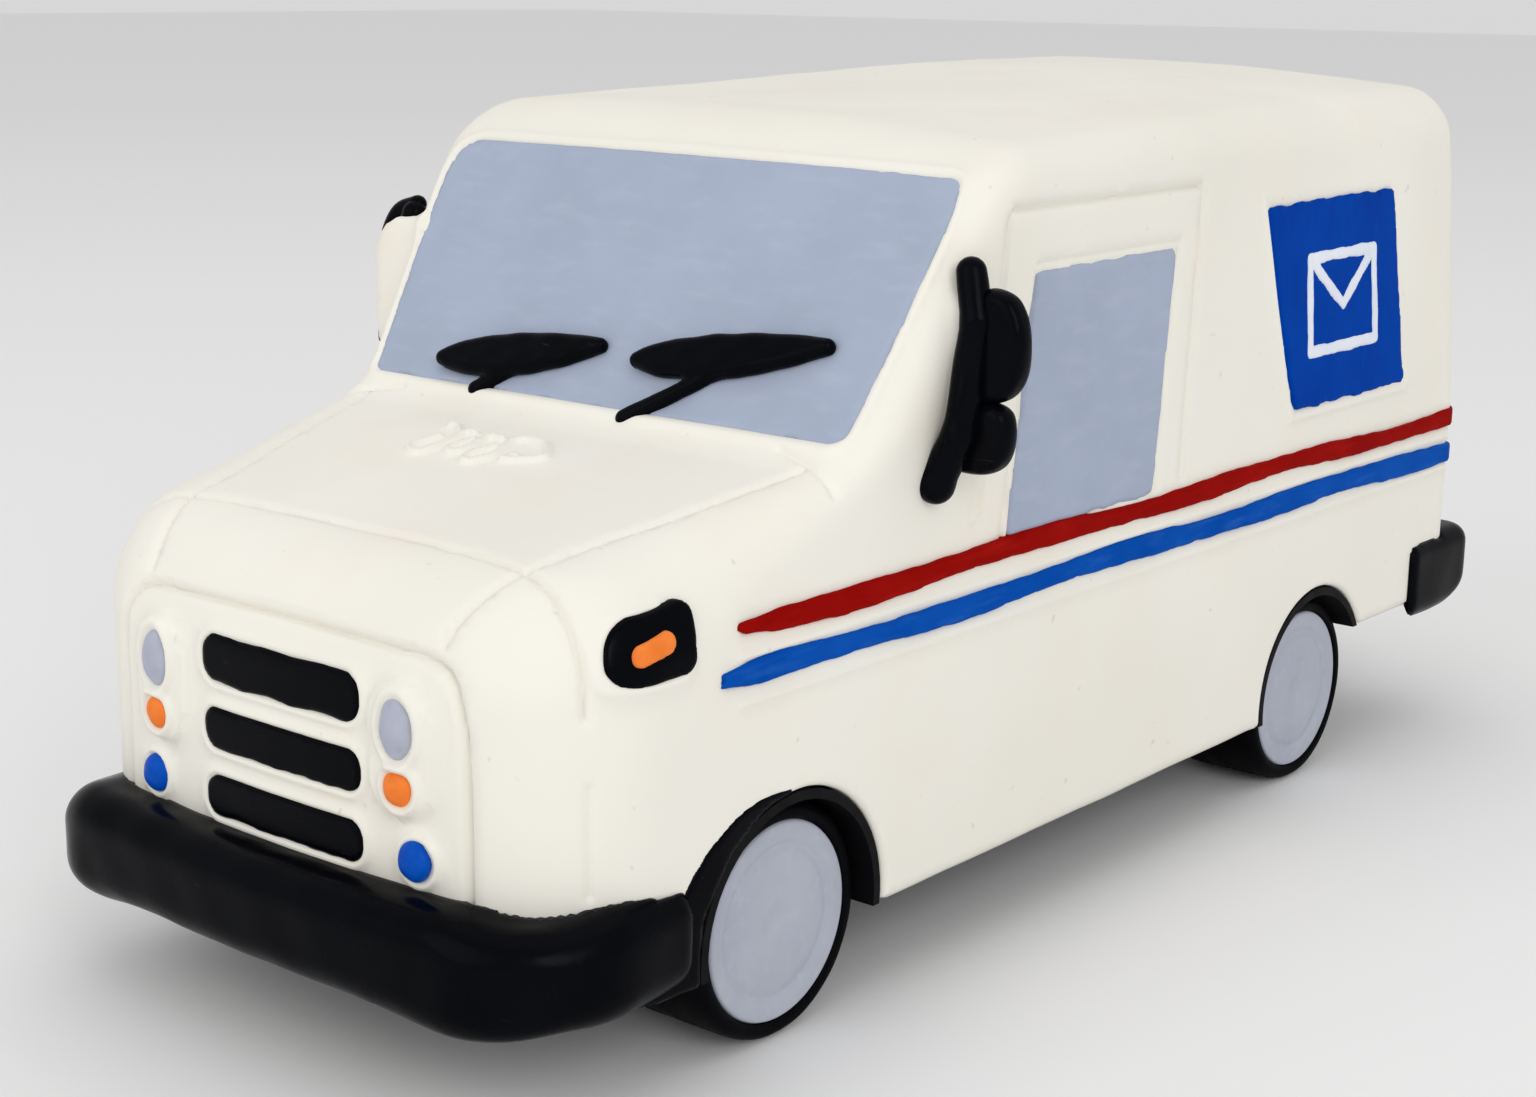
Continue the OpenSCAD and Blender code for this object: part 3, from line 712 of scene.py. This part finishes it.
def shell_relief(p):
    """Broad raised areas of the shell: lamp plates, rims and trim seats."""
    x, y, z = p.T
    wide = np.abs(y)
    front = fade(NOSE_X - 4, NOSE_X - 2, x)
    plate = box_2d(wide, z, (13.1, 27.5), (21.2, 40.2), 3.7)
    rise = 0.75 * fade(0.3, -0.5, plate)
    head = np.hypot((wide - LAMP_Y - 0.1) / 2.5, (z - HEADLAMP_Z) / 3.5) - 1
    rise += 0.6 * soft_ridge(head * 2.9, 0.5)
    turn = np.hypot(wide - LAMP_Y - 0.2, z - TURN_Z) - 2.15
    rise += 0.55 * soft_ridge(turn, 0.45)
    mark = np.hypot(wide - MARKER[0] - 0.3, z - MARKER[1]) - 2.3
    rise += 0.6 * soft_ridge(mark, 0.45)
    for bar in BARS:
        rise += 0.45 * soft_ridge(bar_outline(p, bar) - 0.45, 0.5)
    rise *= front
    side = fade(31, 33.5, wide)
    seat = box_2d(x, z, (SIDE_LENS[0] - 5.2, 39.9), (SIDE_LENS[0] + 5.6, 47.0), 2.0)
    rise += side * 0.5 * fade(0.4, -0.4, seat)
    rise += np.where(on_glass(p), 0.4 * soft_ridge(screen_outline(p) - 0.7, 0.7), 0)
    return rise


def trim_seats(p):
    """How deep the shell is sunk under its painted trims."""
    on_side = fade(31, 32, np.abs(p[:, 1]))
    deep = np.where(on_glass(p), fade(0.1, -0.7, screen_outline(p)), 0)
    for outline in (door_window_outline, sign_outline, side_marker_outline):
        deep = np.maximum(deep, on_side * fade(0.1, -0.7, outline(p)))
    for height in (RED_Z, BLUE_Z):
        deep = np.maximum(deep, on_side * fade(0.1, -0.6, stripe_outline(p, height)))
    on_nose = fade(NOSE_X - 4, NOSE_X - 3, p[:, 0])
    for bar in BARS:
        deep = np.maximum(deep, on_nose * fade(0.1, -0.7, bar_outline(p, bar)))
    return deep


def hood_strokes(p, half_width=0.38):
    """A small raised squiggle on the hood: soft overlapping loops."""
    x, y, z = p.T
    strokes = [
        [(56.8, -11.3), (60.0, -12.0), (61.3, -10.9), (61.0, -9.4), (57.2, -9.1), (54.9, -9.3),
         (54.7, -8.2)],
        [(56.2, -6.6), (59.4, -7.3), (59.8, -5.8), (58.4, -5.4), (55.0, -5.8), (54.8, -4.0)],
        [(56.9, -2.8), (60.1, -3.8), (61.4, -2.6), (59.1, -1.2), (54.9, -2.3), (53.9, -0.8), (54.3, 1.5),
         (55.7, 3.3), (57.5, 4.6), (58.6, 2.9), (59.5, 0.6), (58.0, 1.2)],
        [(53.7, -12.9), (53.8, -11.7), (55.3, -9.9)],
    ]
    gap = np.full(x.shape, 4.0)
    for stroke in strokes:
        gap = np.minimum(gap, stroke_2d(x, y, through(stroke, 0.5).tolist(), 0.0))
    return np.where(z > 48, STROKE_RISE * soft_ridge(gap, half_width), 0)


def refine(piece, near):
    """Splits every edge whose ends both lie in the band."""
    mesh = bmesh.new()
    mesh.from_mesh(piece.data)
    mesh.verts.ensure_lookup_table()
    edges = [e for e in mesh.edges if near[e.verts[0].index] and near[e.verts[1].index]]
    bmesh.ops.subdivide_edges(mesh, edges=edges, cuts=1, use_grid_fill=True)
    mesh.to_mesh(piece.data)
    mesh.free()


def line_band(points, lines, reach):
    """Which points lie within reach of a line."""
    near = np.zeros(len(points), bool)
    for line, *_ in lines:
        near |= distance_to_line(points, line) < reach
    return near


def cut_with(piece, cutter):
    """Takes the cutter's volume out of the piece, and the cutter out of the scene."""
    cut = piece.modifiers.new("cavity", "BOOLEAN")
    cut.operation = "DIFFERENCE"
    cut.solver = "MANIFOLD"
    cut.object = cutter
    with bpy.context.temp_override(object=piece, active_object=piece):
        bpy.ops.object.modifier_apply(modifier=cut.name)
    bpy.data.objects.remove(cutter)


def mirror_web(p):
    """A thin fin between the cab side and each mirror arm."""
    x, y, z = p.T
    wide = np.abs(y)
    near = round_max(np.abs(x - 33.9) - 1.1, np.abs(z - 62.5) - 8.5, 0.8)
    near = round_max(near, round_max(30 - wide, y - 40.2, 0.5), 0.5)
    far = round_max(np.abs(z - 64.6) - 8.8, -y - 44.2, 5.0)
    far = round_max(round_max(far, 30 - wide, 0.5), np.abs(x - 34.8) - 2.1, 1.2)
    return np.where(y > 0, near, far)


def body_shell():
    """The moulded shell: form, engraved lines, raised seats and an open inside."""
    def outside(p):
        return round_min(body_field(p), mirror_web(p), 1.2)

    low = (TAIL_X, -46, SILL_Z)
    high = (NOSE_X, 41, ROOF_Z + 2)
    piece = sculpt("body_shell_form", outside, low, high, SHELL_CELL)
    lines = shell_lines()
    for reach, least in RELIEF_PASSES:
        points = coordinates(piece)
        busy = (shell_relief(points) > least) | (hood_strokes(points, 1.0) > 0.05)
        busy |= (np.abs(arch_space(points)) < 1.1) & (outer_form(points) > -1.1)
        refine(piece, busy | line_band(points, lines, reach))
    points = settle(coordinates(piece), outside, 2)
    groove, ridge = np.zeros(len(points)), np.zeros(len(points))
    for line, half_width, height in lines:
        mark = height * soft_ridge(distance_to_line(points, line), half_width)
        groove, ridge = np.minimum(groove, mark), np.maximum(ridge, mark)
    rise = shell_relief(points) + hood_strokes(points) + groove + ridge
    rise += 0.07 * wobble(points, 31, 0.4) + 0.035 * wobble(points, 13, 2.1)
    seat = trim_seats(points)
    rise = rise * (1 - seat) - SEAT_DEPTH * seat
    normal = slope_of(outside, points)
    normal /= np.maximum(np.linalg.norm(normal, axis=1), 0.2)[:, None]
    set_coordinates(piece, points + normal * rise[:, None])

    def cavity(p):
        return round_max(outer_form(p) + WALL, -2 - p[:, 2], 0.1)

    inside = sculpt("cavity", cavity, (TAIL_X, -40, -3), (NOSE_X, 40, ROOF_Z + 1), CAVITY_CELL)
    cut_with(piece, inside)
    piece.data.shade_smooth()
    return finish_piece(piece, ["body_shell"], TRUCK, CREAM)


# ---- Painted trims draped over the shell -----------------------------------------------------


def span_y(side, inner, outer):
    """Lowest and highest y of a stretch on one side of the truck."""
    return sorted((side * inner, side * outer))


def draped(name, outline, low, high, cell, top, node, slot, material, wave=0.2, depth=0.9, phase=0.0):
    """A thin painted piece that follows the shell, from depth below its surface to top above it."""
    def field(p):
        skin = outer_form(p)
        layer = np.abs(skin - (top - depth) / 2) - (top + depth) / 2
        edge = outline(p) + wave * wobble(p, 7.0, phase) + 0.35 * wave * wobble(p, 2.3, phase + 1)
        return round_max(layer, edge, 0.3)

    piece = sculpt(name, field, low, high, cell)
    return finish_piece(piece, [node], TRUCK, material)


def windows():
    draped("windshield_form", screen_outline, (26, -37, 55), (48, 37, 85), 0.5, 0.16,
           "windshield", "window_grey_blue", WINDOW, wave=0.1, depth=1.1)
    for word, side in SIDES:
        y = span_y(side, 34.5, 40)
        low, high = (-10, y[0], 43), (24, y[1], 74)
        draped(f"door_window_{word}_form", door_window_outline, low, high, 0.45, 0.1,
               f"door_window_{word}", "window_grey_blue", WINDOW, wave=0.22, phase=side)


def signs():
    for word, side in SIDES:
        y = span_y(side, 31.5, 38)
        draped(f"mail_sign_{word}_form", sign_outline, (-72, y[0], 48), (-27, y[1], 77), 0.45, 0.22,
               f"mail_sign_{word}", "sign_blue", SIGN_BLUE, wave=0.3, phase=1 + side)
        draped(f"mail_emblem_{word}_form", emblem_outline, (-63, y[0], 54), (-39, y[1], 71), 0.36, 0.42,
               f"mail_emblem_{word}", "emblem_white", WHITE, wave=0.18, depth=0.5, phase=2 * side)


def stripes():
    for word, side in SIDES:
        for colour, height, paint in (("red", RED_Z, RED), ("blue", BLUE_Z, BLUE)):
            def outline(p):
                return stripe_outline(p, height)
            y = span_y(side, 30, 37.5)
            draped(f"stripe_{colour}_{word}_form", outline, (TAIL_X, y[0], height - 2.5),
                   (STRIPE_FRONT[height] + 2, y[1], height + 2.5), 0.42, 0.42,
                   f"stripe_{colour}_{word}", f"stripe_{colour}", paint, wave=0.13, phase=side + height)


def arch_paint():
    """Black paint that runs from the front bumper's ends round the front of each wheel arch."""
    for word, side in SIDES:
        y = span_y(side, 28, 38)
        low = (FRONT_AXLE[0] - 2, y[0], SILL_Z)
        high = (FRONT_AXLE[0] + 26, y[1], FRONT_AXLE[1] + 16)
        draped(f"arch_paint_{word}_form", arch_paint_outline, low, high, 0.42, 0.15,
               "front_bumper", "black_trim", BLACK, depth=0.7, phase=side)


def grille():
    for bar, (z, _) in BARS.items():
        def outline(p):
            return bar_outline(p, bar)
        low, high = (NOSE_X - 2, -13, z - 4), (NOSE_X + 1, 13, z + 4)
        draped(f"grille_bar_{bar}_form", outline, low, high, 0.34, 0.42,
               f"grille_bar_{bar}", "black_trim", BLACK, wave=0.15, phase=z)


def domed(name, centre, half, node, material, wave=0.08):
    """A lens: an oval dome that bulges from the front panel."""
    def field(p):
        q = (p - centre) / half
        size = np.sqrt((q**2).sum(1))
        return (size - 1) * min(half[1:]) + wave * wobble(p, 2.6, centre[1])
    reach = np.array(half) + 0.3
    piece = sculpt(name, field, np.array(centre) - reach, np.array(centre) + reach, 0.2)
    return finish_piece(piece, [node], TRUCK, material)


def lamps():
    for word, side in SIDES:
        face = NOSE_X - NOSE_BOW * LAMP_Y**2
        domed(f"headlamp_{word}_form", (face + 0.55, side * LAMP_Y, HEADLAMP_Z), (1.35, 1.95, 2.95),
              f"headlamp_{word}", GREY_LENS)
        domed(f"turn_lamp_{word}_form", (face + 0.55, side * LAMP_Y, TURN_Z), (1.25, 1.7, 1.75),
              f"turn_lamp_{word}", ORANGE_LENS)
        domed(f"marker_lamp_{word}_form", (face + 0.15, side * MARKER[0], MARKER[1]), (1.3, 1.85, 1.95),
              f"marker_lamp_{word}", BLUE_LENS)
        domed(f"tail_lamp_{word}_form", (TAIL_X, side * 28.5, 36), (0.8, 2.4, 2.4),
              f"tail_lamp_{word}", RED_LENS)


def side_markers():
    low = (SIDE_LENS[0] - 7, SIDE_LENS[1] - 5)
    high = (SIDE_LENS[0] + 6, SIDE_LENS[1] + 5)
    for word, side in SIDES:
        y = span_y(side, 28, 38)
        span = ((low[0], y[0], low[1]), (high[0], y[1], high[1]))
        draped(f"side_marker_housing_{word}_form", side_marker_outline, *span, 0.3, 0.5,
               f"side_marker_housing_{word}", "black_trim", BLACK, wave=0.2, phase=3 + side)
        draped(f"side_marker_lens_{word}_form", side_lens_outline, *span, 0.24, 0.95,
               f"side_marker_lens_{word}", "lens_orange", ORANGE_LENS, wave=0.12, depth=0.3, phase=side)


# ---- Bumpers, mirrors and wipers -------------------------------------------------------------

BUMPER_CELL = 0.62
BUMPER_GAP = 0.35


def front_bumper():
    """A thick bar round the nose, cut back to the shell, whose top sinks at its right end."""
    low, high = box_mm("front_bumper")
    end_x = low[0]

    def field(p):
        x, y, z = p.T
        wide = np.abs(y)
        side = wide - (high[1] - 0.9 * fade(84, 70, x) + 0.2)
        nose = x - (high[0] - 0.0018 * y**2)
        plan = round_max(side, nose, 12.5)
        top = high[2] - 3.0 * fade(-26, -37, y) - 0.85 * fade(24, 31, y) * fade(78, 86, x)
        foot = low[2] + 0.95 * fade(28, 14, wide) + 1.1 * fade(92, 84, x)
        block = round_max(plan, np.abs(z - (top + foot) / 2) - (top - foot) / 2, 3.4)
        block = round_max(block, end_x + 9 * fade(-20, -32, y) - x, 2.2)
        block = block - 0.12 * wobble(p, 21, 1.0) - 0.05 * wobble(p, 8, 0.2)
        return round_max(block, -(outer_form(p) + BUMPER_GAP), 0.3)
    piece = sculpt("front_bumper_form", field, low - 0.6, high + 0.6, BUMPER_CELL)
    return finish_piece(piece, ["front_bumper"], TRUCK, BLACK)


def rear_bumper():
    """A bar across the tail with a sloping lower rear edge, cut back to the shell."""
    low, high = box_mm("rear_bumper")
    middle = (low[2] + high[2]) / 2

    def field(p):
        x, y, z = p.T
        plan = round_max(np.abs(y) - high[1], low[0] - x, 4.0)
        block = round_max(plan, np.abs(z - middle) - (high[2] - low[2]) / 2, 2.4)
        foot = ((low[0] + 2.5 - x) * 0.5 + (low[2] + 4.5 - z) * 0.866) - 2.2
        block = round_max(block, foot, 2.0)
        block = round_max(block, x - high[0], 2.2)
        block = block - 0.12 * wobble(p, 17, 2.0)
        return round_max(block, -(outer_form(p) + BUMPER_GAP), 0.3)
    piece = sculpt("rear_bumper_form", field, low - 0.6, high + 0.6, BUMPER_CELL)
    return finish_piece(piece, ["rear_bumper"], TRUCK, BLACK)


def capsule(p, a, b, r0, r1):
    """A round bar from a to b whose radius goes from r0 to r1."""
    a, b = np.array(a, float), np.array(b, float)
    t = np.clip(((p - a) @ (b - a)) / ((b - a) @ (b - a)), 0, 1)
    return np.linalg.norm(p - a - t[:, None] * (b - a), axis=1) - (r0 + t * (r1 - r0))


def pebble(p, centre, half, r):
    """A rounded block."""
    q = np.abs(p - np.array(centre)) - (np.array(half) - r)
    return np.linalg.norm(np.maximum(q, 0), axis=1) + np.minimum(q.max(1), 0) - r


# A mirror arm from its head end down, as (x from its middle, y, z), its radii and its inner blends.
ARM_BENDS = [(-0.4, 39.3, 73.6), (0.0, 40.4, 69), (1.1, 39.5, 58), (1.6, 37.2, 52.8), (0.9, 35, 54.0)]
ARM_RADII = (1.5, 1.65, 1.65, 1.85, 1.7)
ARM_BLENDS = (0.3, 0.5, 0.5)
ARM_Y = 40.4
FAR_RIM = [(39.4, 74.6), (42.6, 73.4), (44.7, 69.8), (45.3, 64.5), (45.3, 58.5)]
SPOT_INNER = {1: 35.6, -1: 37.8}


def mirrors():
    """Each side's bent arm with its mirror head and, below, its round spot mirror."""
    for word, side in SIDES:
        bar_x = centre_mm(f"mirror_arm_{word}")[0]
        edge = box_mm(f"mirror_head_{word}")[1 if side > 0 else 0][1] * side
        head_x = bar_x - 1.0
        bends = [(bar_x + x, y, z) for x, y, z in ARM_BENDS]

        def arm(p):
            q = flipped(p, side)
            found = capsule(q, *bends[:2], *ARM_RADII[:2])
            for i, blend in enumerate(ARM_BLENDS, 1):
                found = round_min(found, capsule(q, *bends[i:i + 2], *ARM_RADII[i:i + 2]), blend)
            return found + 0.08 * wobble(q, 6, 0.5)

        def head(p):
            if side < 0:
                gap = stroke_2d(-p[:, 1], p[:, 2], through(FAR_RIM, 0.5).tolist(), 0.0)
                return np.hypot(gap, p[:, 0] - head_x) - 1.05
            q = flipped(p, side)
            half = (1.5, (edge - ARM_Y) / 2, 5.8)
            found = pebble(q, (head_x, (edge + ARM_Y) / 2, 66.6), half, 1.45)
            bow = np.hypot((q[:, 1] - ARM_Y) / 5.4, (q[:, 2] - 66.6) / 6.3) - 1
            found = round_max(found, bow * 5.2, 1.0)
            return found + 0.12 * wobble(q, 7, 1.5)

        def spot(p):
            q = flipped(p, side)
            inner = SPOT_INNER[side]
            half = (1.5, (edge - inner - 3.6) / 2, 3.8)
            found = pebble(q, (head_x, (edge + inner) / 2, 57.4), half, 1.45)
            bow = np.hypot((q[:, 1] - 39.4) / 5.2, (q[:, 2] - 58.0) / 4.6) - 1
            found = round_max(found, bow * 4.9, 1.0)
            return found + 0.1 * wobble(q, 6, 2.5)

        y = span_y(side, 33, 48)
        heights = {"arm": (48, 77), "head": (58, 76), "spot": (52, 62)}
        for (part, z), field in zip(heights.items(), (arm, head, spot)):
            low, high = (bar_x - 4, y[0], z[0]), (bar_x + 4, y[1], z[1])
            piece = sculpt(f"mirror_{part}_{word}_form", field, low, high, 0.34)
            finish_piece(piece, [f"mirror_{part}_{word}"], TRUCK, BLACK)


# Each wiper on the screen: its blade's inner end, its arm's foot and its blade's length.
WIPER_RISE = math.radians(10.5)
WIPERS = {"left": ((4.8, 5.6), (5.7, -0.8), 24.0), "right": ((-22.6, 2.6), (-16.2, -0.3), 22.6)}


def wipers():
    """Two leaf-shaped blades, each on a short arm."""
    along, across = math.cos(WIPER_RISE), math.sin(WIPER_RISE)
    for word, (root, foot, length) in WIPERS.items():
        def field(p):
            u, v = on_screen(p)
            out = (p[:, 0] - SCREEN_FOOT[0]) * SCREEN_N[0] + (p[:, 2] - SCREEN_FOOT[1]) * SCREEN_N[1]
            a = (u - root[0]) * along + (v - root[1]) * across
            b = (v - root[1]) * along - (u - root[0]) * across
            t = np.clip(a / length, 0, 1)
            half = 0.95 + 1.65 * np.sin(math.pi * t**0.85) ** 0.8 - 0.35 * t
            leaf = np.hypot(np.abs(b + 0.3 * np.sin(math.pi * t)), np.maximum(-a, 0)) - half
            leaf = round_max(leaf * 0.9, a - length, 0.5)
            blade = round_max(leaf, np.abs(out - 0.75) - 1.0, 0.9)
            base = np.stack([u, v, out], 1)
            reach = (root[0] + 0.52 * length, root[1] + 1.2)
            arm = capsule(base, (foot[0], foot[1], 0.5), (*reach, 0.7), 0.95, 0.75)
            return round_min(blade, arm, 0.4) + 0.07 * wobble(p, 4.5, root[0])
        low, high = (36, root[0] - 3, 53), (53, root[0] + length + 3, 70)
        piece = sculpt(f"wiper_{word}_form", field, low, high, 0.32)
        finish_piece(piece, [f"wiper_{word}"], TRUCK, BLACK)


# ---- Wheels ----------------------------------------------------------------------------------


def turned(name, profile, axle, side, segments=120):
    """A closed solid turned about an axle line from (radius, distance from the middle) points."""
    profile = np.array(profile, float)
    angles = np.linspace(0, 2 * math.pi, segments, endpoint=False)
    radius, out = profile[:, 0][None], profile[:, 1][None]
    x = axle[0] + radius * np.cos(angles)[:, None]
    z = axle[1] + radius * np.sin(angles)[:, None]
    y = side * np.broadcast_to(out, x.shape)
    points = np.stack([x, y, z], -1).reshape(-1, 3)
    count = len(profile)
    faces = []
    for i in range(segments):
        k = (i + 1) % segments
        for j in range(count):
            m = (j + 1) % count
            face = [i * count + j, k * count + j, k * count + m, i * count + m]
            faces.append(face if side > 0 else face[::-1])
    piece = add_mesh(name, points, faces)
    mesh = bmesh.new()
    mesh.from_mesh(piece.data)
    bmesh.ops.remove_doubles(mesh, verts=mesh.verts, dist=0.01 * MM)
    bmesh.ops.delete(mesh, geom=[e for e in mesh.edges if not e.link_faces], context="EDGES")
    bmesh.ops.recalc_face_normals(mesh, faces=mesh.faces)
    mesh.to_mesh(piece.data)
    mesh.free()
    piece.data.shade_smooth()
    return piece


def wheels():
    """Four tyres and four hub discs, each turned from one profile."""
    face = TYRE_FACE
    inner = face - TYRE_W
    tyre = [(HUB_R, inner), (TYRE_R - 1.2, inner), (TYRE_R - 0.3, inner + 0.4), (TYRE_R, inner + 1.4),
            (TYRE_R, face - 2.0), (TYRE_R - 0.05, face - 1.1), (TYRE_R - 0.22, face - 0.45),
            (TYRE_R - 0.55, face), (TYRE_R - 0.95, face + 0.2), (HUB_R + 0.35, face + 0.15),
            (HUB_R + 0.05, face - 0.15), (HUB_R, face - 0.6)]
    hub = [(AXLE_R, inner + 1), (HUB_R, inner + 1), (HUB_R, face - 0.3), (HUB_R - 0.15, face + 0.02),
           (HUB_R - 0.5, face + 0.1), (8.6, face + 0.02), (8.1, face - 0.05), (7.8, face - 0.3),
           (7.5, face - 0.33), (7.1, face - 0.12), (6.4, face - 0.05), (4.5, face),
           (2.6, face - 0.03), (1.8, face - 0.12), (1.1, face - 0.35), (0.0, face - 0.42),
           (0.0, face - 2.4), (AXLE_R, face - 2.4)]
    for end, axle in (("front", FRONT_AXLE), ("rear", REAR_AXLE)):
        for word, side in SIDES:
            body = f"{end}_wheelset"
            piece = turned(f"{end}_tyre_{word}_form", tyre, axle, side)
            smooth_profile(piece)
            points = coordinates(piece)
            uneven = 0.09 * wobble(points, 9, side + axle[0]) * fade(HUB_R, TYRE_R, radial(points, axle))
            points[:, 1] += side * uneven
            set_coordinates(piece, points)
            finish_piece(piece, [f"{end}_tyre_{word}"], body, RUBBER)
            piece = turned(f"{end}_hub_{word}_form", hub, axle, side)
            smooth_profile(piece)
            finish_piece(piece, [f"{end}_hub_{word}"], body, HUB_PAINT)


def radial(points, axle):
    """Distance of each point from an axle line."""
    return np.hypot(points[:, 0] - axle[0], points[:, 2] - axle[1])


def smooth_profile(piece):
    """Rounds a turned piece's edges with a small bevel."""
    bevel = piece.modifiers.new("bevel", "BEVEL")
    bevel.width = 0.12 * MM
    bevel.segments = 2
    bevel.limit_method = "ANGLE"
    bevel.angle_limit = math.radians(35)
    with bpy.context.temp_override(object=piece, active_object=piece):
        bpy.ops.object.modifier_apply(modifier=bevel.name)
    piece.data.shade_smooth()


# ---- Assembly --------------------------------------------------------------------------------

body_shell()
windows()
signs()
stripes()
arch_paint()
grille()
lamps()
side_markers()
front_bumper()
rear_bumper()
mirrors()
wipers()
wheels()


def keep_node(node, material):
    """Gives a CAD node that stays its material."""
    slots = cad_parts[node].data.materials
    slots.clear()
    slots.append(material)


keep_node("chassis_base", CHASSIS)
for node in ("chassis_screws", "front_axle", "rear_axle"):
    keep_node(node, STEEL)

# ---- Studio ----------------------------------------------------------------------------------

FLOOR_REACH = 4.0
AIR_STRENGTH = 0.68
CAMERA_PLACE = (0.22597, 0.17311, 0.1017)
CAMERA_AIM = (-0.74912, -0.62042, -0.23216)
CAMERA_ROLL = math.radians(0.64)
CAMERA_LENS = 57.04


def studio_floor():
    mesh = bpy.data.meshes.new("studio_floor")
    corners = [(x * FLOOR_REACH, y * FLOOR_REACH, 0) for x, y in ((-1, -1), (1, -1), (1, 1), (-1, 1))]
    mesh.from_pydata(corners, [], [(0, 1, 2, 3)])
    floor = bpy.data.objects.new("studio_floor", mesh)
    bpy.context.scene.collection.objects.link(floor)
    material = bpy.data.materials.new("studio_floor_white")
    material.use_nodes = True
    shader = material.node_tree.nodes["Principled BSDF"]
    shader.inputs["Base Color"].default_value = (0.9, 0.9, 0.9, 1)
    shader.inputs["Roughness"].default_value = 0.9
    mesh.materials.append(material)


def softbox(name, place, target, size, power):
    light = bpy.data.lights.new(name, "AREA")
    light.shape = "DISK"
    light.size = size
    light.energy = power
    lamp = bpy.data.objects.new(name, light)
    lamp.location = place
    lamp.rotation_euler = (Vector(target) - Vector(place)).to_track_quat("-Z", "Y").to_euler()
    bpy.context.scene.collection.objects.link(lamp)


def studio():
    studio_floor()
    middle = (0, 0, 0.045)
    softbox("key_light", (0.5, 0.95, 0.6), middle, 0.6, 3.0)
    softbox("fill_light", (0.95, -0.15, 0.5), middle, 0.9, 1.85)
    softbox("top_light", (-0.1, 0.0, 1.1), middle, 1.2, 1.25)
    world = bpy.data.worlds.new("studio_air")
    world.use_nodes = True
    background = world.node_tree.nodes["Background"]
    background.inputs["Color"].default_value = (1, 1, 1, 1)
    background.inputs["Strength"].default_value = AIR_STRENGTH
    bpy.context.scene.world = world
    bpy.context.scene.view_settings.view_transform = "Standard"


def camera():
    """The photograph's view: 57 mm lens, from the front left and a little above the roof."""
    forward = Vector(CAMERA_AIM).normalized()
    data = bpy.data.cameras.new("camera")
    data.lens = CAMERA_LENS
    data.sensor_width = 36
    data.clip_start = 0.01
    made = bpy.data.objects.new("camera", data)
    turn = forward.to_track_quat("-Z", "Y").to_matrix() @ Matrix.Rotation(CAMERA_ROLL, 3, "Z")
    made.matrix_world = Matrix.Translation(CAMERA_PLACE) @ turn.to_4x4()
    bpy.context.scene.collection.objects.link(made)
    bpy.context.scene.camera = made


studio()
camera()
